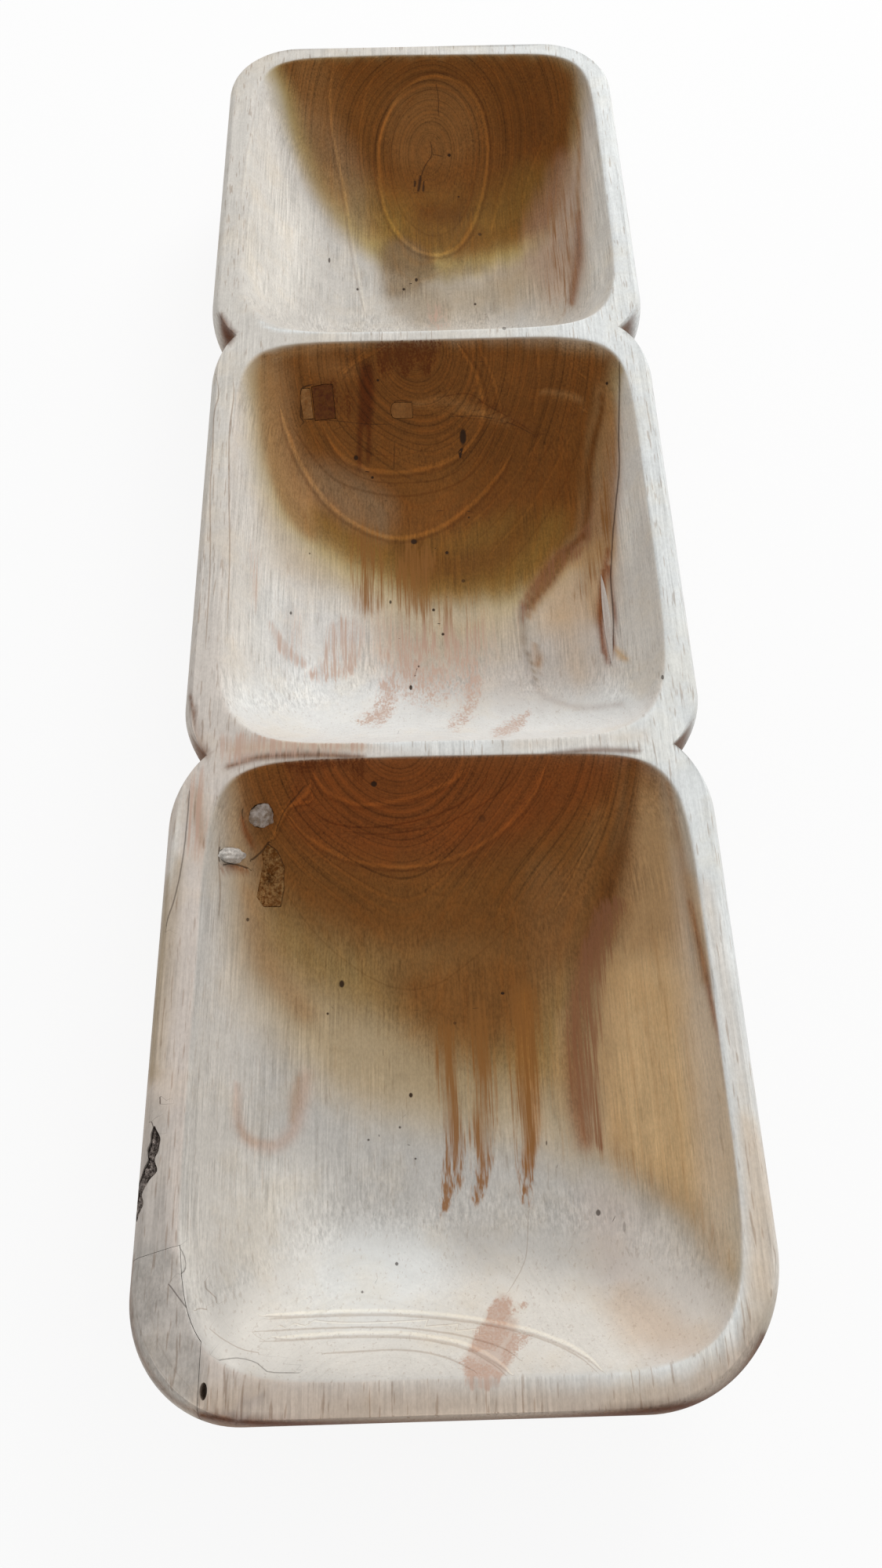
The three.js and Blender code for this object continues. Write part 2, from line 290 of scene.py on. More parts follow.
@dataclass(frozen=True)
class DishForm:
    """Formulas of the carved log, in millimetres, with the overall size taken from the frame."""

    half_width: float
    half_length: float
    height: float
    bulge_drop: float = 16.0
    rim_side: float = 5.5
    rim_end: float = 2.5
    base_side: float = 36.0
    base_end: float = 30.0
    hull_power: float = 1.9
    notch_radius: float = 28.0
    notch_depth: float = 8.0
    notch_upright: float = 1.25
    far_notch_shift: float = 3.0
    waist_left: float = 2.4
    far_radius: float = 30.0
    near_left_radius: float = 34.0
    near_right_radius: float = 42.0
    far_divider: float = 100.5
    near_divider: float = -96.2
    divider_width: float = 7.0
    end_rim: float = 8.5
    side_rim: float = 7.5
    depth: float = 45.0
    wall_power: float = 3.6
    edge_round: float = 0.45
    side_round: float = 1.6
    bowl_shift: float = 1.6
    far_lip: float = 1.4
    unevenness: float = 0.7
    foot_bevel: float = 1.2
    foot_rise: float = 0.45
    foot_share: float = 0.965
    crown_rings: int = 11
    hull_rings: int = 13
    hull_low: float = 0.035
    lip_shares: tuple[float, float, float] = (1.6, 1.0, 0.5)
    reach_limit: float = 3.0
    side_blend: float = 0.35
    right_round: float = 0.35
    slope_step: float = 0.05
    wall_steps: int = 6
    least_rate: float = 0.2

    def bowls(self) -> tuple[Bowl, Bowl, Bowl]:
        """The far, middle and near hollows between the rims and dividers.

        Returns:
            The three bowls.
        """
        end = self.half_length - self.rim_end - self.end_rim
        side = self.half_width - self.rim_side - self.side_rim
        half = self.divider_width / 2
        far_lip, middle_lip, near_lip = (share * self.far_lip for share in self.lip_shares)
        spans = (
            (Zone.FAR, self.far_divider + half, end + far_lip),
            (Zone.MIDDLE, self.near_divider + half, self.far_divider - half + middle_lip),
            (Zone.NEAR, -end, self.near_divider - half + near_lip),
        )
        left, right = side - self.bowl_shift, side + self.bowl_shift
        return tuple(Bowl(zone, (a + b) / 2, (b - a) / 2, left, right) for zone, a, b in spans)

    def chisel(self, x: np.ndarray, y: np.ndarray) -> np.ndarray:
        """Unevenness left by the tools: a few crossing waves, between 0 and 1.

        Args:
            x: places across the dish.
            y: places along the dish.

        Returns:
            Shares of the unevenness.
        """
        wave = np.sin(x * 0.061 + y * 0.017 + 0.6) + np.sin(y * 0.049 - x * 0.023 + 2.1)
        ripple = np.sin(x * 0.17 - y * 0.11 + 1.3) + np.sin(y * 0.19 + x * 0.07)
        return 0.5 + 0.5 * (0.38 * wave + 0.12 * ripple)

    def top(self, x: np.ndarray, y: np.ndarray) -> np.ndarray:
        """Height of the carved top: the rim's plane less each bowl's depth, rounded at the edge.

        A bowl is depth * (1 - reach ** power) deep, softened to nothing outside its edge.

        Args:
            x: places across the dish.
            y: places along the dish.

        Returns:
            Heights above the base.
        """
        sunk = np.zeros(np.broadcast(x, y).shape)
        for bowl in self.bowls():
            k = self.edge_round + self.side_round * self.side_share(bowl, x, y)
            fall = self.depth * (1 - np.minimum(bowl.reach(x, y), self.reach_limit) ** self.wall_power)
            sunk = sunk + k * np.logaddexp(0.0, fall / k)
        return self.height - sunk - self.unevenness * self.chisel(x, y)

    def side_share(self, bowl: Bowl, x: np.ndarray, y: np.ndarray) -> np.ndarray:
        """How much a place lies at a bowl's side and not its ends, less on the right."""
        across, along = bowl.offsets(x, y)
        return ease(across - along, 0.0, self.side_blend) * np.where(x < 0, 1.0, self.right_round)

    def slopes(self, x: np.ndarray, y: np.ndarray) -> tuple[np.ndarray, np.ndarray]:
        """Slopes of the top along X and Y, by central differences.

        Args:
            x: places across the dish.
            y: places along the dish.

        Returns:
            The two slopes.
        """
        h = self.slope_step
        across = (self.top(x + h, y) - self.top(x - h, y)) / (2 * h)
        along = (self.top(x, y + h) - self.top(x, y - h)) / (2 * h)
        return across, along

    def corner(self, depth: float) -> tuple[float, float]:
        """Lap and turn, in degrees, of a rounded corner that ends at a notch of the stated depth.

        Args:
            depth: how far the notch stands in.

        Returns:
            The lap and the turn.
        """
        inner = self.notch_radius - depth
        rise = math.sqrt(self.notch_radius**2 - inner**2)
        return self.notch_radius - rise, math.degrees(math.atan2(rise, inner))

    def stretches(self, side: float, end: float) -> list[list[Arc | Straight]]:
        """Outline at one level, anticlockwise from the far right notch, in four runs.

        Args:
            side: how far the sides stand in from the widest line.
            end: how far the ends stand in.

        Returns:
            The far lobe, the middle's left side, the near lobe and the middle's right side.
        """
        w = self.half_width - side
        y_far = self.half_length - end
        y_near = -y_far
        r = self.notch_radius
        depth = self.notch_depth + self.notch_upright * max(self.rim_side - side, 0.0)
        lap, turn = self.corner(depth)
        slim_lap, slim_turn = self.corner(depth - self.waist_left)
        d1, d2 = self.far_divider + self.far_notch_shift, self.near_divider
        low1, high1 = d1 - lap + r, d1 + lap - r
        low2, high2 = d2 - lap + r, d2 + lap - r
        slim = self.waist_left - w
        rf, nl, nr = self.far_radius, self.near_left_radius, self.near_right_radius
        far = [
            Arc(w - r, low1, r, -turn, 0),
            Straight(w, low1, w, y_far - rf),
            Arc(w - rf, y_far - rf, rf, 0, 90),
            Straight(w - rf, y_far, rf - w, y_far),
            Arc(rf - w, y_far - rf, rf, 90, 180),
            Straight(-w, y_far - rf, -w, low1),
            Arc(r - w, low1, r, 180, 180 + turn),
        ]
        left = [
            Arc(r + slim, d1 + slim_lap - r, r, 180 - slim_turn, 180),
            Straight(slim, d1 + slim_lap - r, slim, d2 - slim_lap + r),
            Arc(r + slim, d2 - slim_lap + r, r, 180, 180 + slim_turn),
        ]
        near = [
            Arc(r - w, high2, r, 180 - turn, 180),
            Straight(-w, high2, -w, y_near + nl),
            Arc(nl - w, y_near + nl, nl, 180, 270),
            Straight(nl - w, y_near, w - nr, y_near),
            Arc(w - nr, y_near + nr, nr, 270, 360),
            Straight(w, y_near + nr, w, high2),
            Arc(w - r, high2, r, 0, turn),
        ]
        right = [
            Arc(w - r, low2, r, -turn, 0),
            Straight(w, low2, w, high1),
            Arc(w - r, high1, r, 0, turn),
        ]
        return [far, left, near, right]

    def outer_levels(self) -> list[tuple[float, float, float]]:
        """Height, side inset and end inset of the outer wall's rings, from the rim to the base.

        Returns:
            One row for each ring.
        """
        bulge = self.height - self.bulge_drop
        rings = []
        for angle in np.linspace(90, 0, self.crown_rings)[1:]:
            share = 1 - math.cos(math.radians(angle))
            z = bulge + self.bulge_drop * math.sin(math.radians(angle))
            rings.append((z, self.rim_side * share, self.rim_end * share))
        for rise in np.linspace(1, self.hull_low, self.hull_rings)[1:]:
            share = (1 - rise) ** self.hull_power
            rings.append((rise * bulge, self.base_side * share, self.base_end * share))
        rings.append((self.foot_rise, self.base_side * self.foot_share, self.base_end * self.foot_share))
        rings.append((0.0, self.base_side + self.foot_bevel, self.base_end + self.foot_bevel))
        return rings

    def wall_frame(self, bowl: Bowl, bearing: float, drop: float) -> WallFrame:
        """Seat on a bowl's wall at a bearing round the bowl and a drop below the rim.

        Args:
            bowl: the hollow.
            bearing: degrees anticlockwise from the right.
            drop: millimetres below the rim.

        Returns:
            The seat, with its directions square to the wall.
        """
        share = (1 - drop / self.depth) ** (1 / self.wall_power)
        u, v = math.cos(math.radians(bearing)), math.sin(math.radians(bearing))
        power = bowl.far_power if v > 0 else bowl.power
        norm = (abs(u) ** power + abs(v) ** power) ** (1 / power)
        x = share * (bowl.left if u < 0 else bowl.right) * u / norm
        y = bowl.middle + share * bowl.half * v / norm
        across, along = self.slopes(np.array(x), np.array(y))
        out = np.array([-across, -along, 1.0])
        out /= np.linalg.norm(out)
        level = np.cross((0, 0, 1), out)
        level /= np.linalg.norm(level)
        origin = np.array([x, y, float(self.top(np.array(x), np.array(y)))])
        return WallFrame(origin, level, np.cross(out, level), out)

    def on_wall(self, seat: WallFrame, across: np.ndarray, upward: np.ndarray) -> np.ndarray:
        """Outward offsets that bring local points onto the carved top, by Newton's steps.

        Args:
            seat: the seat on the wall.
            across: local offsets along the level direction.
            upward: local offsets up the wall.

        Returns:
            Offsets along the seat's outward direction.
        """
        lift = np.zeros(np.broadcast(across, upward).shape)
        for _ in range(self.wall_steps):
            p = seat.place(across, upward, lift)
            gap = p[..., 2] - self.top(p[..., 0], p[..., 1])
            sx, sy = self.slopes(p[..., 0], p[..., 1])
            rate = seat.out[2] - sx * seat.out[0] - sy * seat.out[1]
            lift = lift - gap / np.maximum(rate, self.least_rate)
        return lift


# Mesh helpers


def mesh_object(name: str, points: np.ndarray, faces: list[np.ndarray]) -> bpy.types.Object:
    """Object whose mesh holds the points, given in millimetres, and the faces.

    Args:
        name: name of the object and its mesh.
        points: n by 3 places.
        faces: index arrays, one row a face, each array with its own number of corners.

    Returns:
        The object, linked to the scene, with smooth faces.
    """
    data = bpy.data.meshes.new(name)
    rows = [row for block in faces for row in block.tolist()]
    data.from_pydata((points * METRE).tolist(), [], rows)
    data.validate()
    data.shade_smooth()
    made = bpy.data.objects.new(name, data)
    bpy.context.scene.collection.objects.link(made)
    return made


def places_of(piece: bpy.types.Object) -> np.ndarray:
    """The piece's vertices in millimetres.

    Args:
        piece: any mesh object.

    Returns:
        n by 3 places.
    """
    flat = np.zeros(len(piece.data.vertices) * 3, np.float32)
    piece.data.vertices.foreach_get("co", flat)
    return flat.reshape(-1, 3).astype(float) / METRE


def band(first: np.ndarray, second: np.ndarray) -> np.ndarray:
    """Quads between two closed rings of indices that run in step."""
    return np.stack([first, np.roll(first, -1), np.roll(second, -1), second], axis=1)


def fan(ring: np.ndarray, centre: int) -> np.ndarray:
    """Triangles from a closed ring of indices to one centre."""
    return np.stack([ring, np.roll(ring, -1), np.full(len(ring), centre)], axis=1)


def sharp_edged(piece: bpy.types.Object, degrees: float) -> bpy.types.Object:
    """The piece, with its edges of more than an angle kept crisp."""
    piece.data.set_sharp_from_angle(angle=math.radians(degrees))
    return piece


def combine(piece: bpy.types.Object, cutter: Solid, how: str) -> None:
    """Cuts a piece with a closed solid, or keeps what the two share, and applies the result.

    Args:
        piece: the object to change.
        cutter: the solid's points and faces.
        how: DIFFERENCE or INTERSECT.
    """
    tool = mesh_object("cutter", *cutter)
    step = piece.modifiers.new("joint", "BOOLEAN")
    step.operation = how
    step.solver = "EXACT"
    step.object = tool
    graph = bpy.context.evaluated_depsgraph_get()
    shaped = bpy.data.meshes.new_from_object(piece.evaluated_get(graph))
    piece.modifiers.remove(step)
    spent = (piece.data, tool.data)
    piece.data = shaped
    bpy.data.objects.remove(tool)
    for data in spent:
        bpy.data.meshes.remove(data)
    shaped.name = piece.name


def spline(p: np.ndarray, closed: bool, per_span: int = 6) -> np.ndarray:
    """Smooth curve through points: Catmull-Rom spans, each with a few even steps.

    Args:
        p: n by 2 points in order.
        closed: whether the curve returns to its start.
        per_span: steps in each span.

    Returns:
        Points along the curve.
    """
    if closed:
        a, b, c, d = np.roll(p, 1, 0), p, np.roll(p, -1, 0), np.roll(p, -2, 0)
    else:
        ends = np.vstack([2 * p[:1] - p[1:2], p, 2 * p[-1:] - p[-2:-1]])
        a, b, c, d = ends[:-3], ends[1:-2], ends[2:-1], ends[3:]
    t = (np.arange(per_span) / per_span)[None, :, None]
    a, b, c, d = a[:, None], b[:, None], c[:, None], d[:, None]
    bend, twist = 2 * a - 5 * b + 4 * c - d, 3 * b - a - 3 * c + d
    curve = (0.5 * (2 * b + (c - a) * t + bend * t**2 + twist * t**3)).reshape(-1, 2)
    return curve if closed else np.vstack([curve, p[-1:]])


def along_path(points: np.ndarray, path: np.ndarray) -> tuple[np.ndarray, np.ndarray, np.ndarray]:
    """Nearest place on a path for each point.

    Args:
        points: n by 2 places.
        path: m by 2 places in order.

    Returns:
        Distance, side (plus or minus one) and share of the way along the path.
    """
    start, run = path[:-1], np.diff(path, axis=0)
    away = points[:, None, :] - start[None]
    square = np.maximum((run**2).sum(1), 1e-9)
    share = np.clip((away * run[None]).sum(2) / square, 0, 1)
    miss = away - share[..., None] * run[None]
    gap = np.sqrt((miss**2).sum(2))
    best = gap.argmin(1)
    row = np.arange(len(points))
    near, to = run[best], away[row, best]
    side = np.sign(near[:, 0] * to[:, 1] - near[:, 1] * to[:, 0])
    done = np.concatenate([[0], np.cumsum(np.sqrt(square))])
    where = (done[best] + share[row, best] * np.sqrt(square)[best]) / done[-1]
    return gap[row, best], np.where(side == 0, 1.0, side), where


def inside(points: np.ndarray, outline: np.ndarray) -> np.ndarray:
    """True for points inside a closed outline, by counting crossings.

    Args:
        points: n by 2 places.
        outline: m by 2 corners in order.

    Returns:
        n truth values.
    """
    a, b = outline, np.roll(outline, -1, 0)
    x, y = points[:, :1], points[:, 1:]
    spans = (a[None, :, 1] > y) != (b[None, :, 1] > y)
    rise = np.where(b[:, 1] == a[:, 1], 1e-9, b[:, 1] - a[:, 1])
    cross = a[None, :, 0] + (y - a[None, :, 1]) * ((b[:, 0] - a[:, 0]) / rise)[None]
    return ((spans & (x < cross)).sum(1) % 2) == 1


def ease(value: np.ndarray, low: float, high: float) -> np.ndarray:
    """Smooth step from 0 at low to 1 at high."""
    t = np.clip((value - low) / (high - low), 0, 1)
    return t * t * (3 - 2 * t)


# Marks in the wood and painted light and shade, by pixels of the photograph


def pixels_of(text: str) -> np.ndarray:
    """Pixels written in pairs, "x,y x,y", like the points of a drawn polyline."""
    return np.array([pair.split(",") for pair in text.split()], float)


@dataclass(frozen=True)
class Wash:
    """Patch of colour with a soft edge, its softness and outline in pixels."""

    name: str
    tone: Tone
    soft: float
    strength: float
    outline: str


@dataclass(frozen=True)
class Brush:
    """Streak of colour along a path, with half widths in pixels at its start, middle and end."""

    name: str
    tone: Tone
    halves: tuple[float, float, float]
    strength: float
    path: str


@dataclass(frozen=True)
class Line:
    """Thin line along a path, half a width in pixels to each side, tapered at its ends."""

    name: str
    ink: Ink
    half: float
    strength: float
    path: str
    closed: bool = False

    def curve(self) -> np.ndarray:
        """The path as a smooth row of pixels, back to its start where it is closed."""
        path = spline(pixels_of(self.path), self.closed)
        return np.vstack([path, path[:1]]) if self.closed else path


@dataclass(frozen=True)
class Stain:
    """Ragged stain drawn out along the fibres, its softness and outline in pixels."""

    name: str
    kind: Streak
    soft: float
    strength: float
    outline: str


@dataclass(frozen=True)
class Spot:
    """Dark speck or hole: its middle and half sizes in pixels, and how dark it is."""

    name: str
    x: float
    y: float
    half_x: float
    half_y: float
    strength: float = 1.0


WASHES = {
    Zone.FAR: (
        # Painted light: the far bowl's left and right walls paler where the light falls on them.
        Wash("left wall", Tone.CHALK, 26, 0.95,
            "338,100 352,150 372,220 400,290 380,380 320,385 308,330 318,210"),
        Wash("right wall", Tone.CHALK, 16, 0.75, "736,100 746,130 772,240 785,340 756,396 744,300 742,190"),
        Wash("right strands", Tone.TAN, 30, 0.42,
            "620,345 690,270 716,200 740,130 744,250 740,330 733,392 680,388"),
        Wash("right tawny", Tone.TAWNY, 28, 0.35,
            "650,320 690,260 714,190 738,116 742,230 738,310 728,360 680,350"),
        Wash("floor shade", Tone.DRIFT, 32, 0.68,
            "490,336 560,346 640,336 690,318 676,380 610,414 540,412 500,380"),
        # Fringe and heart washes: the heartwood's brown together with painted shadow on the back and right
        # walls, and a yellowish painted fringe where the shadow ends.
        Wash("fringe", Tone.FRINGE, 15, 0.95,
            "342,76 354,120 368,170 388,216 412,258 444,298 486,334 560,353 640,336 690,306 722,220 "
            "742,110 700,66 540,62 400,64"),
        Wash("heart", Tone.HEART, 15, 1.0,
            "354,74 374,120 394,176 416,224 442,260 472,294 510,314 545,324 590,324 648,312 698,290 "
            "722,238 732,160 736,106 722,82 688,68 555,66 423,70"),
        Wash("heart top", Tone.UMBER, 36, 0.5,
            "440,66 450,120 500,120 600,120 660,190 710,200 742,110 720,66 560,60"),
        Wash("heart right", Tone.UMBER, 26, 0.5, "632,110 700,130 690,220 660,270 625,280 640,210"),
        Wash("heart low", Tone.OLIVE, 34, 0.8,
            "416,226 460,240 520,260 600,255 680,220 700,240 660,310 560,336 490,322 440,284"),
        Wash("left grey", Tone.DRIFT, 24, 0.45, "378,140 412,150 456,210 474,280 464,308 424,278 394,216"),
        Wash("low right", Tone.UMBER, 22, 0.4, "604,240 660,226 704,232 692,290 648,314 612,320 602,280"),
        Wash("oval foot", Tone.UMBER, 9, 0.7, "488,322 506,306 532,312 552,326 550,344 526,350 500,346"),
        Wash("oval low", Tone.UMBER, 16, 0.55, "530,262 592,262 602,296 564,318 522,304"),
        Wash("oval side", Tone.UMBER, 9, 0.45, "576,322 600,292 618,296 606,322 590,334"),
        Wash("pink wall", Tone.BLUSH, 18, 0.35, "684,262 722,196 738,240 738,300 726,376 694,372 668,324"),
        Wash("left amber", Tone.TAWNY, 26, 0.55, "370,84 416,90 436,220 436,262 404,232 384,170"),
        Wash("oval light", Tone.TAWNY, 18, 0.3, "500,130 560,106 600,130 606,190 560,210 500,200"),
        Wash("crescent", Tone.UMBER, 10, 0.5, "532,262 570,258 600,236 604,258 586,282 546,284"),
        Wash("brown tongue", Tone.TAUPE, 10, 0.72,
            "484,322 502,306 528,312 546,330 556,350 540,364 522,374 498,380 487,360"),
        Wash("tongue foot", Tone.TAUPE, 12, 0.3, "490,366 530,362 552,370 570,396 552,416 520,410 498,396"),
    ),
    Zone.MIDDLE: (
        # Painted light: the middle bowl's left wall and front wall paler where they face the light.
        Wash("left wall", Tone.CHALK, 24, 0.75,
            "318,470 326,560 338,650 365,720 350,820 330,900 285,900 280,760 296,560"),
        Wash("front", Tone.SNOW, 30, 0.7,
            "300,880 420,850 560,880 690,890 820,860 800,935 560,955 330,940"),
        Wash("right wall", Tone.PALE, 12, 0.9,
            "796,470 812,520 836,660 852,780 848,880 800,880 788,800 790,690 796,600"),
        Wash("floor shade", Tone.STRAW, 44, 0.75,
            "420,700 560,760 680,740 740,690 760,700 690,770 650,820 540,850 480,790 420,740"),
        # Fringe and heart washes: the heartwood's brown together with painted shadow on the back and right
        # walls, and a yellowish painted fringe where the shadow ends.
        Wash("fringe", Tone.FRINGE, 26, 0.85,
            "320,462 322,540 332,610 352,662 396,708 450,740 540,762 640,770 680,758 744,690 780,560 "
            "790,450 600,430 400,436"),
        Wash("heart", Tone.HEART, 24, 1.0,
            "330,458 334,500 340,553 352,603 372,646 402,680 444,708 490,730 548,758 600,756 650,752 "
            "692,736 728,704 753,658 760,581 772,520 788,458 772,444 692,430 600,426 420,432 350,446"),
        Wash("left edge", Tone.TAWNY, 7, 0.55,
            "331,472 333,520 337,570 346,612 362,650 384,680 404,688 400,640 380,596 364,548 358,500 "
            "352,466"),
        Wash("heart top", Tone.DARK, 34, 0.16,
            "392,440 400,500 450,560 560,580 660,560 740,500 776,450 600,420 420,428"),
        Wash("heart right", Tone.UMBER, 34, 0.48,
            "610,560 700,500 760,480 752,590 722,660 650,690 600,680 600,620"),
        Wash("heart left", Tone.TAN, 18, 0.3, "326,456 366,470 380,560 410,620 396,664 356,620 334,540"),
        Wash("heart low", Tone.OLIVE, 24, 0.7,
            "400,652 470,684 560,692 650,660 716,658 700,716 650,756 596,764 530,768 488,732 430,704"),
        Wash("low dark", Tone.UMBER, 22, 0.7,
            "500,690 560,696 620,686 680,640 700,660 660,716 600,744 520,736"),
        # Painted shade: a greyer patch on the floor near the front wall.
        Wash("floor grey", Tone.SLATE, 30, 0.32,
            "510,800 580,806 660,800 740,810 760,880 680,914 580,912 510,890"),
        Wash("left buff", Tone.BUFF, 24, 0.5, "336,650 376,690 440,730 440,756 380,746 344,704"),
        Wash("drip", Tone.SOOT, 4, 0.85,
            "459,466 475,466 477,520 474,546 472,588 468,588 467,548 463,548 461,594 456,594 456,548 "
            "457,510"),
        Wash("ring grey", Tone.DRIFT, 22, 0.4, "398,592 450,604 498,640 490,682 442,664 408,632"),
        Wash("red wall", Tone.TAWNY, 12, 0.85,
            "764,500 790,520 790,620 782,700 756,720 728,720 744,690 758,620"),
        Wash("right pale", Tone.CHALK, 5, 0.6, "793,480 812,500 818,640 806,720 790,700 792,600"),
        Wash("wedge brown", Tone.TAWNY, 9, 0.6, "748,700 778,696 776,770 762,796 748,764"),
        Wash("left glow", Tone.SNOW, 28, 0.45, "330,750 440,764 452,850 340,870"),
        Wash("red wall low", Tone.TAN, 26, 0.6, "690,760 720,716 760,690 780,700 774,780 740,800 700,800"),
    ),
    Zone.NEAR: (
        # Painted light: the near bowl's left wall and front wall paler where they face the light, and a
        # painted glow on the floor before the front wall.
        Wash("left wall", Tone.PALE, 30, 0.7,
            "275,1130 296,1200 320,1290 316,1420 290,1600 240,1620 232,1450 252,1260"),
        Wash("front", Tone.CHALK, 40, 0.85,
            "300,1660 420,1630 600,1620 760,1640 880,1690 860,1760 500,1760 310,1740"),
        Wash("front glow", Tone.SNOW, 44, 0.7, "380,1590 470,1570 560,1590 560,1650 470,1690 380,1670"),
        Wash("right low", Tone.ROSE, 36, 0.6, "740,1520 830,1540 920,1640 950,1700 900,1750 800,1700"),
        # Fringe, olive and heart washes: the heartwood's brown together with painted shadow on the back and
        # right walls, and a paler painted fringe where the shadow ends.
        Wash("fringe", Tone.BUFF, 44, 0.9,
            "290,965 292,1060 298,1150 302,1214 328,1290 384,1364 470,1416 600,1450 700,1470 800,1505 "
            "880,1580 950,1650 940,1450 890,1180 850,990 700,950 400,955"),
        Wash("olive", Tone.OLIVE, 54, 0.82,
            "308,960 314,1080 316,1176 334,1232 386,1274 456,1306 516,1336 564,1362 612,1384 660,1396 "
            "716,1404 745,1404 790,1230 830,1000 700,950 400,955"),
        Wash("straw low", Tone.OLIVE, 36, 0.3,
            "372,1280 450,1320 520,1340 600,1370 620,1440 540,1420 470,1390 400,1346"),
        Wash("heart", Tone.HEART, 44, 0.95,
            "306,962 312,1060 336,1130 400,1180 480,1214 560,1220 640,1220 700,1250 750,1220 790,1130 "
            "830,1040 836,980 700,946 400,950"),
        Wash("heart centre", Tone.HEART, 40, 0.88,
            "496,1244 560,1222 640,1204 690,1234 692,1300 640,1338 580,1338 526,1306"),
        Wash("right light", Tone.TAN, 28, 0.1, "672,1112 728,1112 742,1190 722,1254 684,1240"),
        Wash("heart top", Tone.RUSSET, 38, 0.75,
            "330,956 350,1050 460,1100 600,1096 720,1050 790,1000 800,950 500,944"),
        Wash("tan wall", Tone.TAN, 30, 0.9,
            "812,1010 846,1040 880,1150 915,1330 936,1480 900,1540 800,1490 764,1420 776,1260 790,1140"),
        Wash("straw wall", Tone.SAND, 26, 0.7,
            "790,1230 880,1240 915,1400 930,1540 930,1610 890,1556 830,1490 784,1430 776,1320"),
        Wash("wall pale", Tone.PALE, 24, 0.4,
            "866,1090 896,1190 922,1340 938,1480 928,1600 898,1560 884,1400 866,1250"),
        Wash("tail", Tone.TAWNY, 14, 0.16,
            "832,1526 872,1516 908,1556 936,1616 948,1648 926,1636 896,1608 870,1560"),
        # Painted light: paler patches on the floor at the right and the left of the front.
        Wash("right floor", Tone.CHALK, 30, 0.5, "800,1570 850,1560 900,1620 930,1680 900,1710 830,1660"),
        Wash("left floor", Tone.CHALK, 40, 0.55, "310,1480 390,1480 420,1600 380,1660 310,1640"),
        Wash("wall brown", Tone.TAWNY, 26, 0.3,
            "800,985 846,1000 860,1090 868,1180 840,1220 800,1200 796,1100"),
        Wash("foot patch", Tone.BLUSH, 4, 0.55,
            "634,1655 652,1656 650,1676 660,1690 648,1742 634,1764 600,1766 592,1740 606,1704 620,1682"),
        Wash("left top", Tone.HEART, 10, 0.55,
            "300,978 304,1010 306,1050 316,1078 340,1080 366,1060 368,972 330,968"),
        Wash("left edge", Tone.TAN, 8, 0.3, "292,990 306,1000 310,1070 326,1150 316,1160 296,1090"),
        # Painted shadow with the heartwood's brown at the heart's right edge.
        Wash("heart edge", Tone.HEART, 16, 0.4, "776,1090 806,1080 814,1130 800,1180 776,1206 760,1180"),
        Wash("corner shade", Tone.TAN, 24, 0.3, "770,1660 830,1650 880,1690 905,1700 860,1722 800,1712"),
    ),
    Zone.RIM: (
        Wash("near left grey", Tone.SLATE, 14, 0.6,
            "196,1395 216,1440 216,1560 206,1610 172,1630 172,1560 184,1450"),
        Wash("block", Tone.SLATE, 8, 0.8, "165,1600 222,1592 240,1660 262,1740 258,1812 200,1770 160,1690"),
        Wash("block brown edge", Tone.PALE, 8, 0.5,
            "162,1600 174,1600 170,1660 184,1720 214,1770 262,1800 262,1830 150,1780"),
        Wash("near right", Tone.TAN, 14, 0.36,
            "944,1420 984,1480 992,1600 984,1680 950,1720 952,1600 948,1500"),
        Wash("front tan", Tone.DRIFT, 16, 0.5,
            "420,1790 600,1784 800,1772 890,1752 950,1700 985,1650 990,1740 900,1810 600,1830 420,1830"),
        # Painted shade in the far notch between the lobes.
        Wash("far notch", Tone.DARK, 4, 0.85, "279,400 288,408 293,417 300,424 292,440 284,426"),
        Wash("front", Tone.FAWN, 24, 0.8,
            "270,1770 500,1766 800,1764 900,1740 960,1690 950,1780 700,1820 300,1820"),
    ),
}

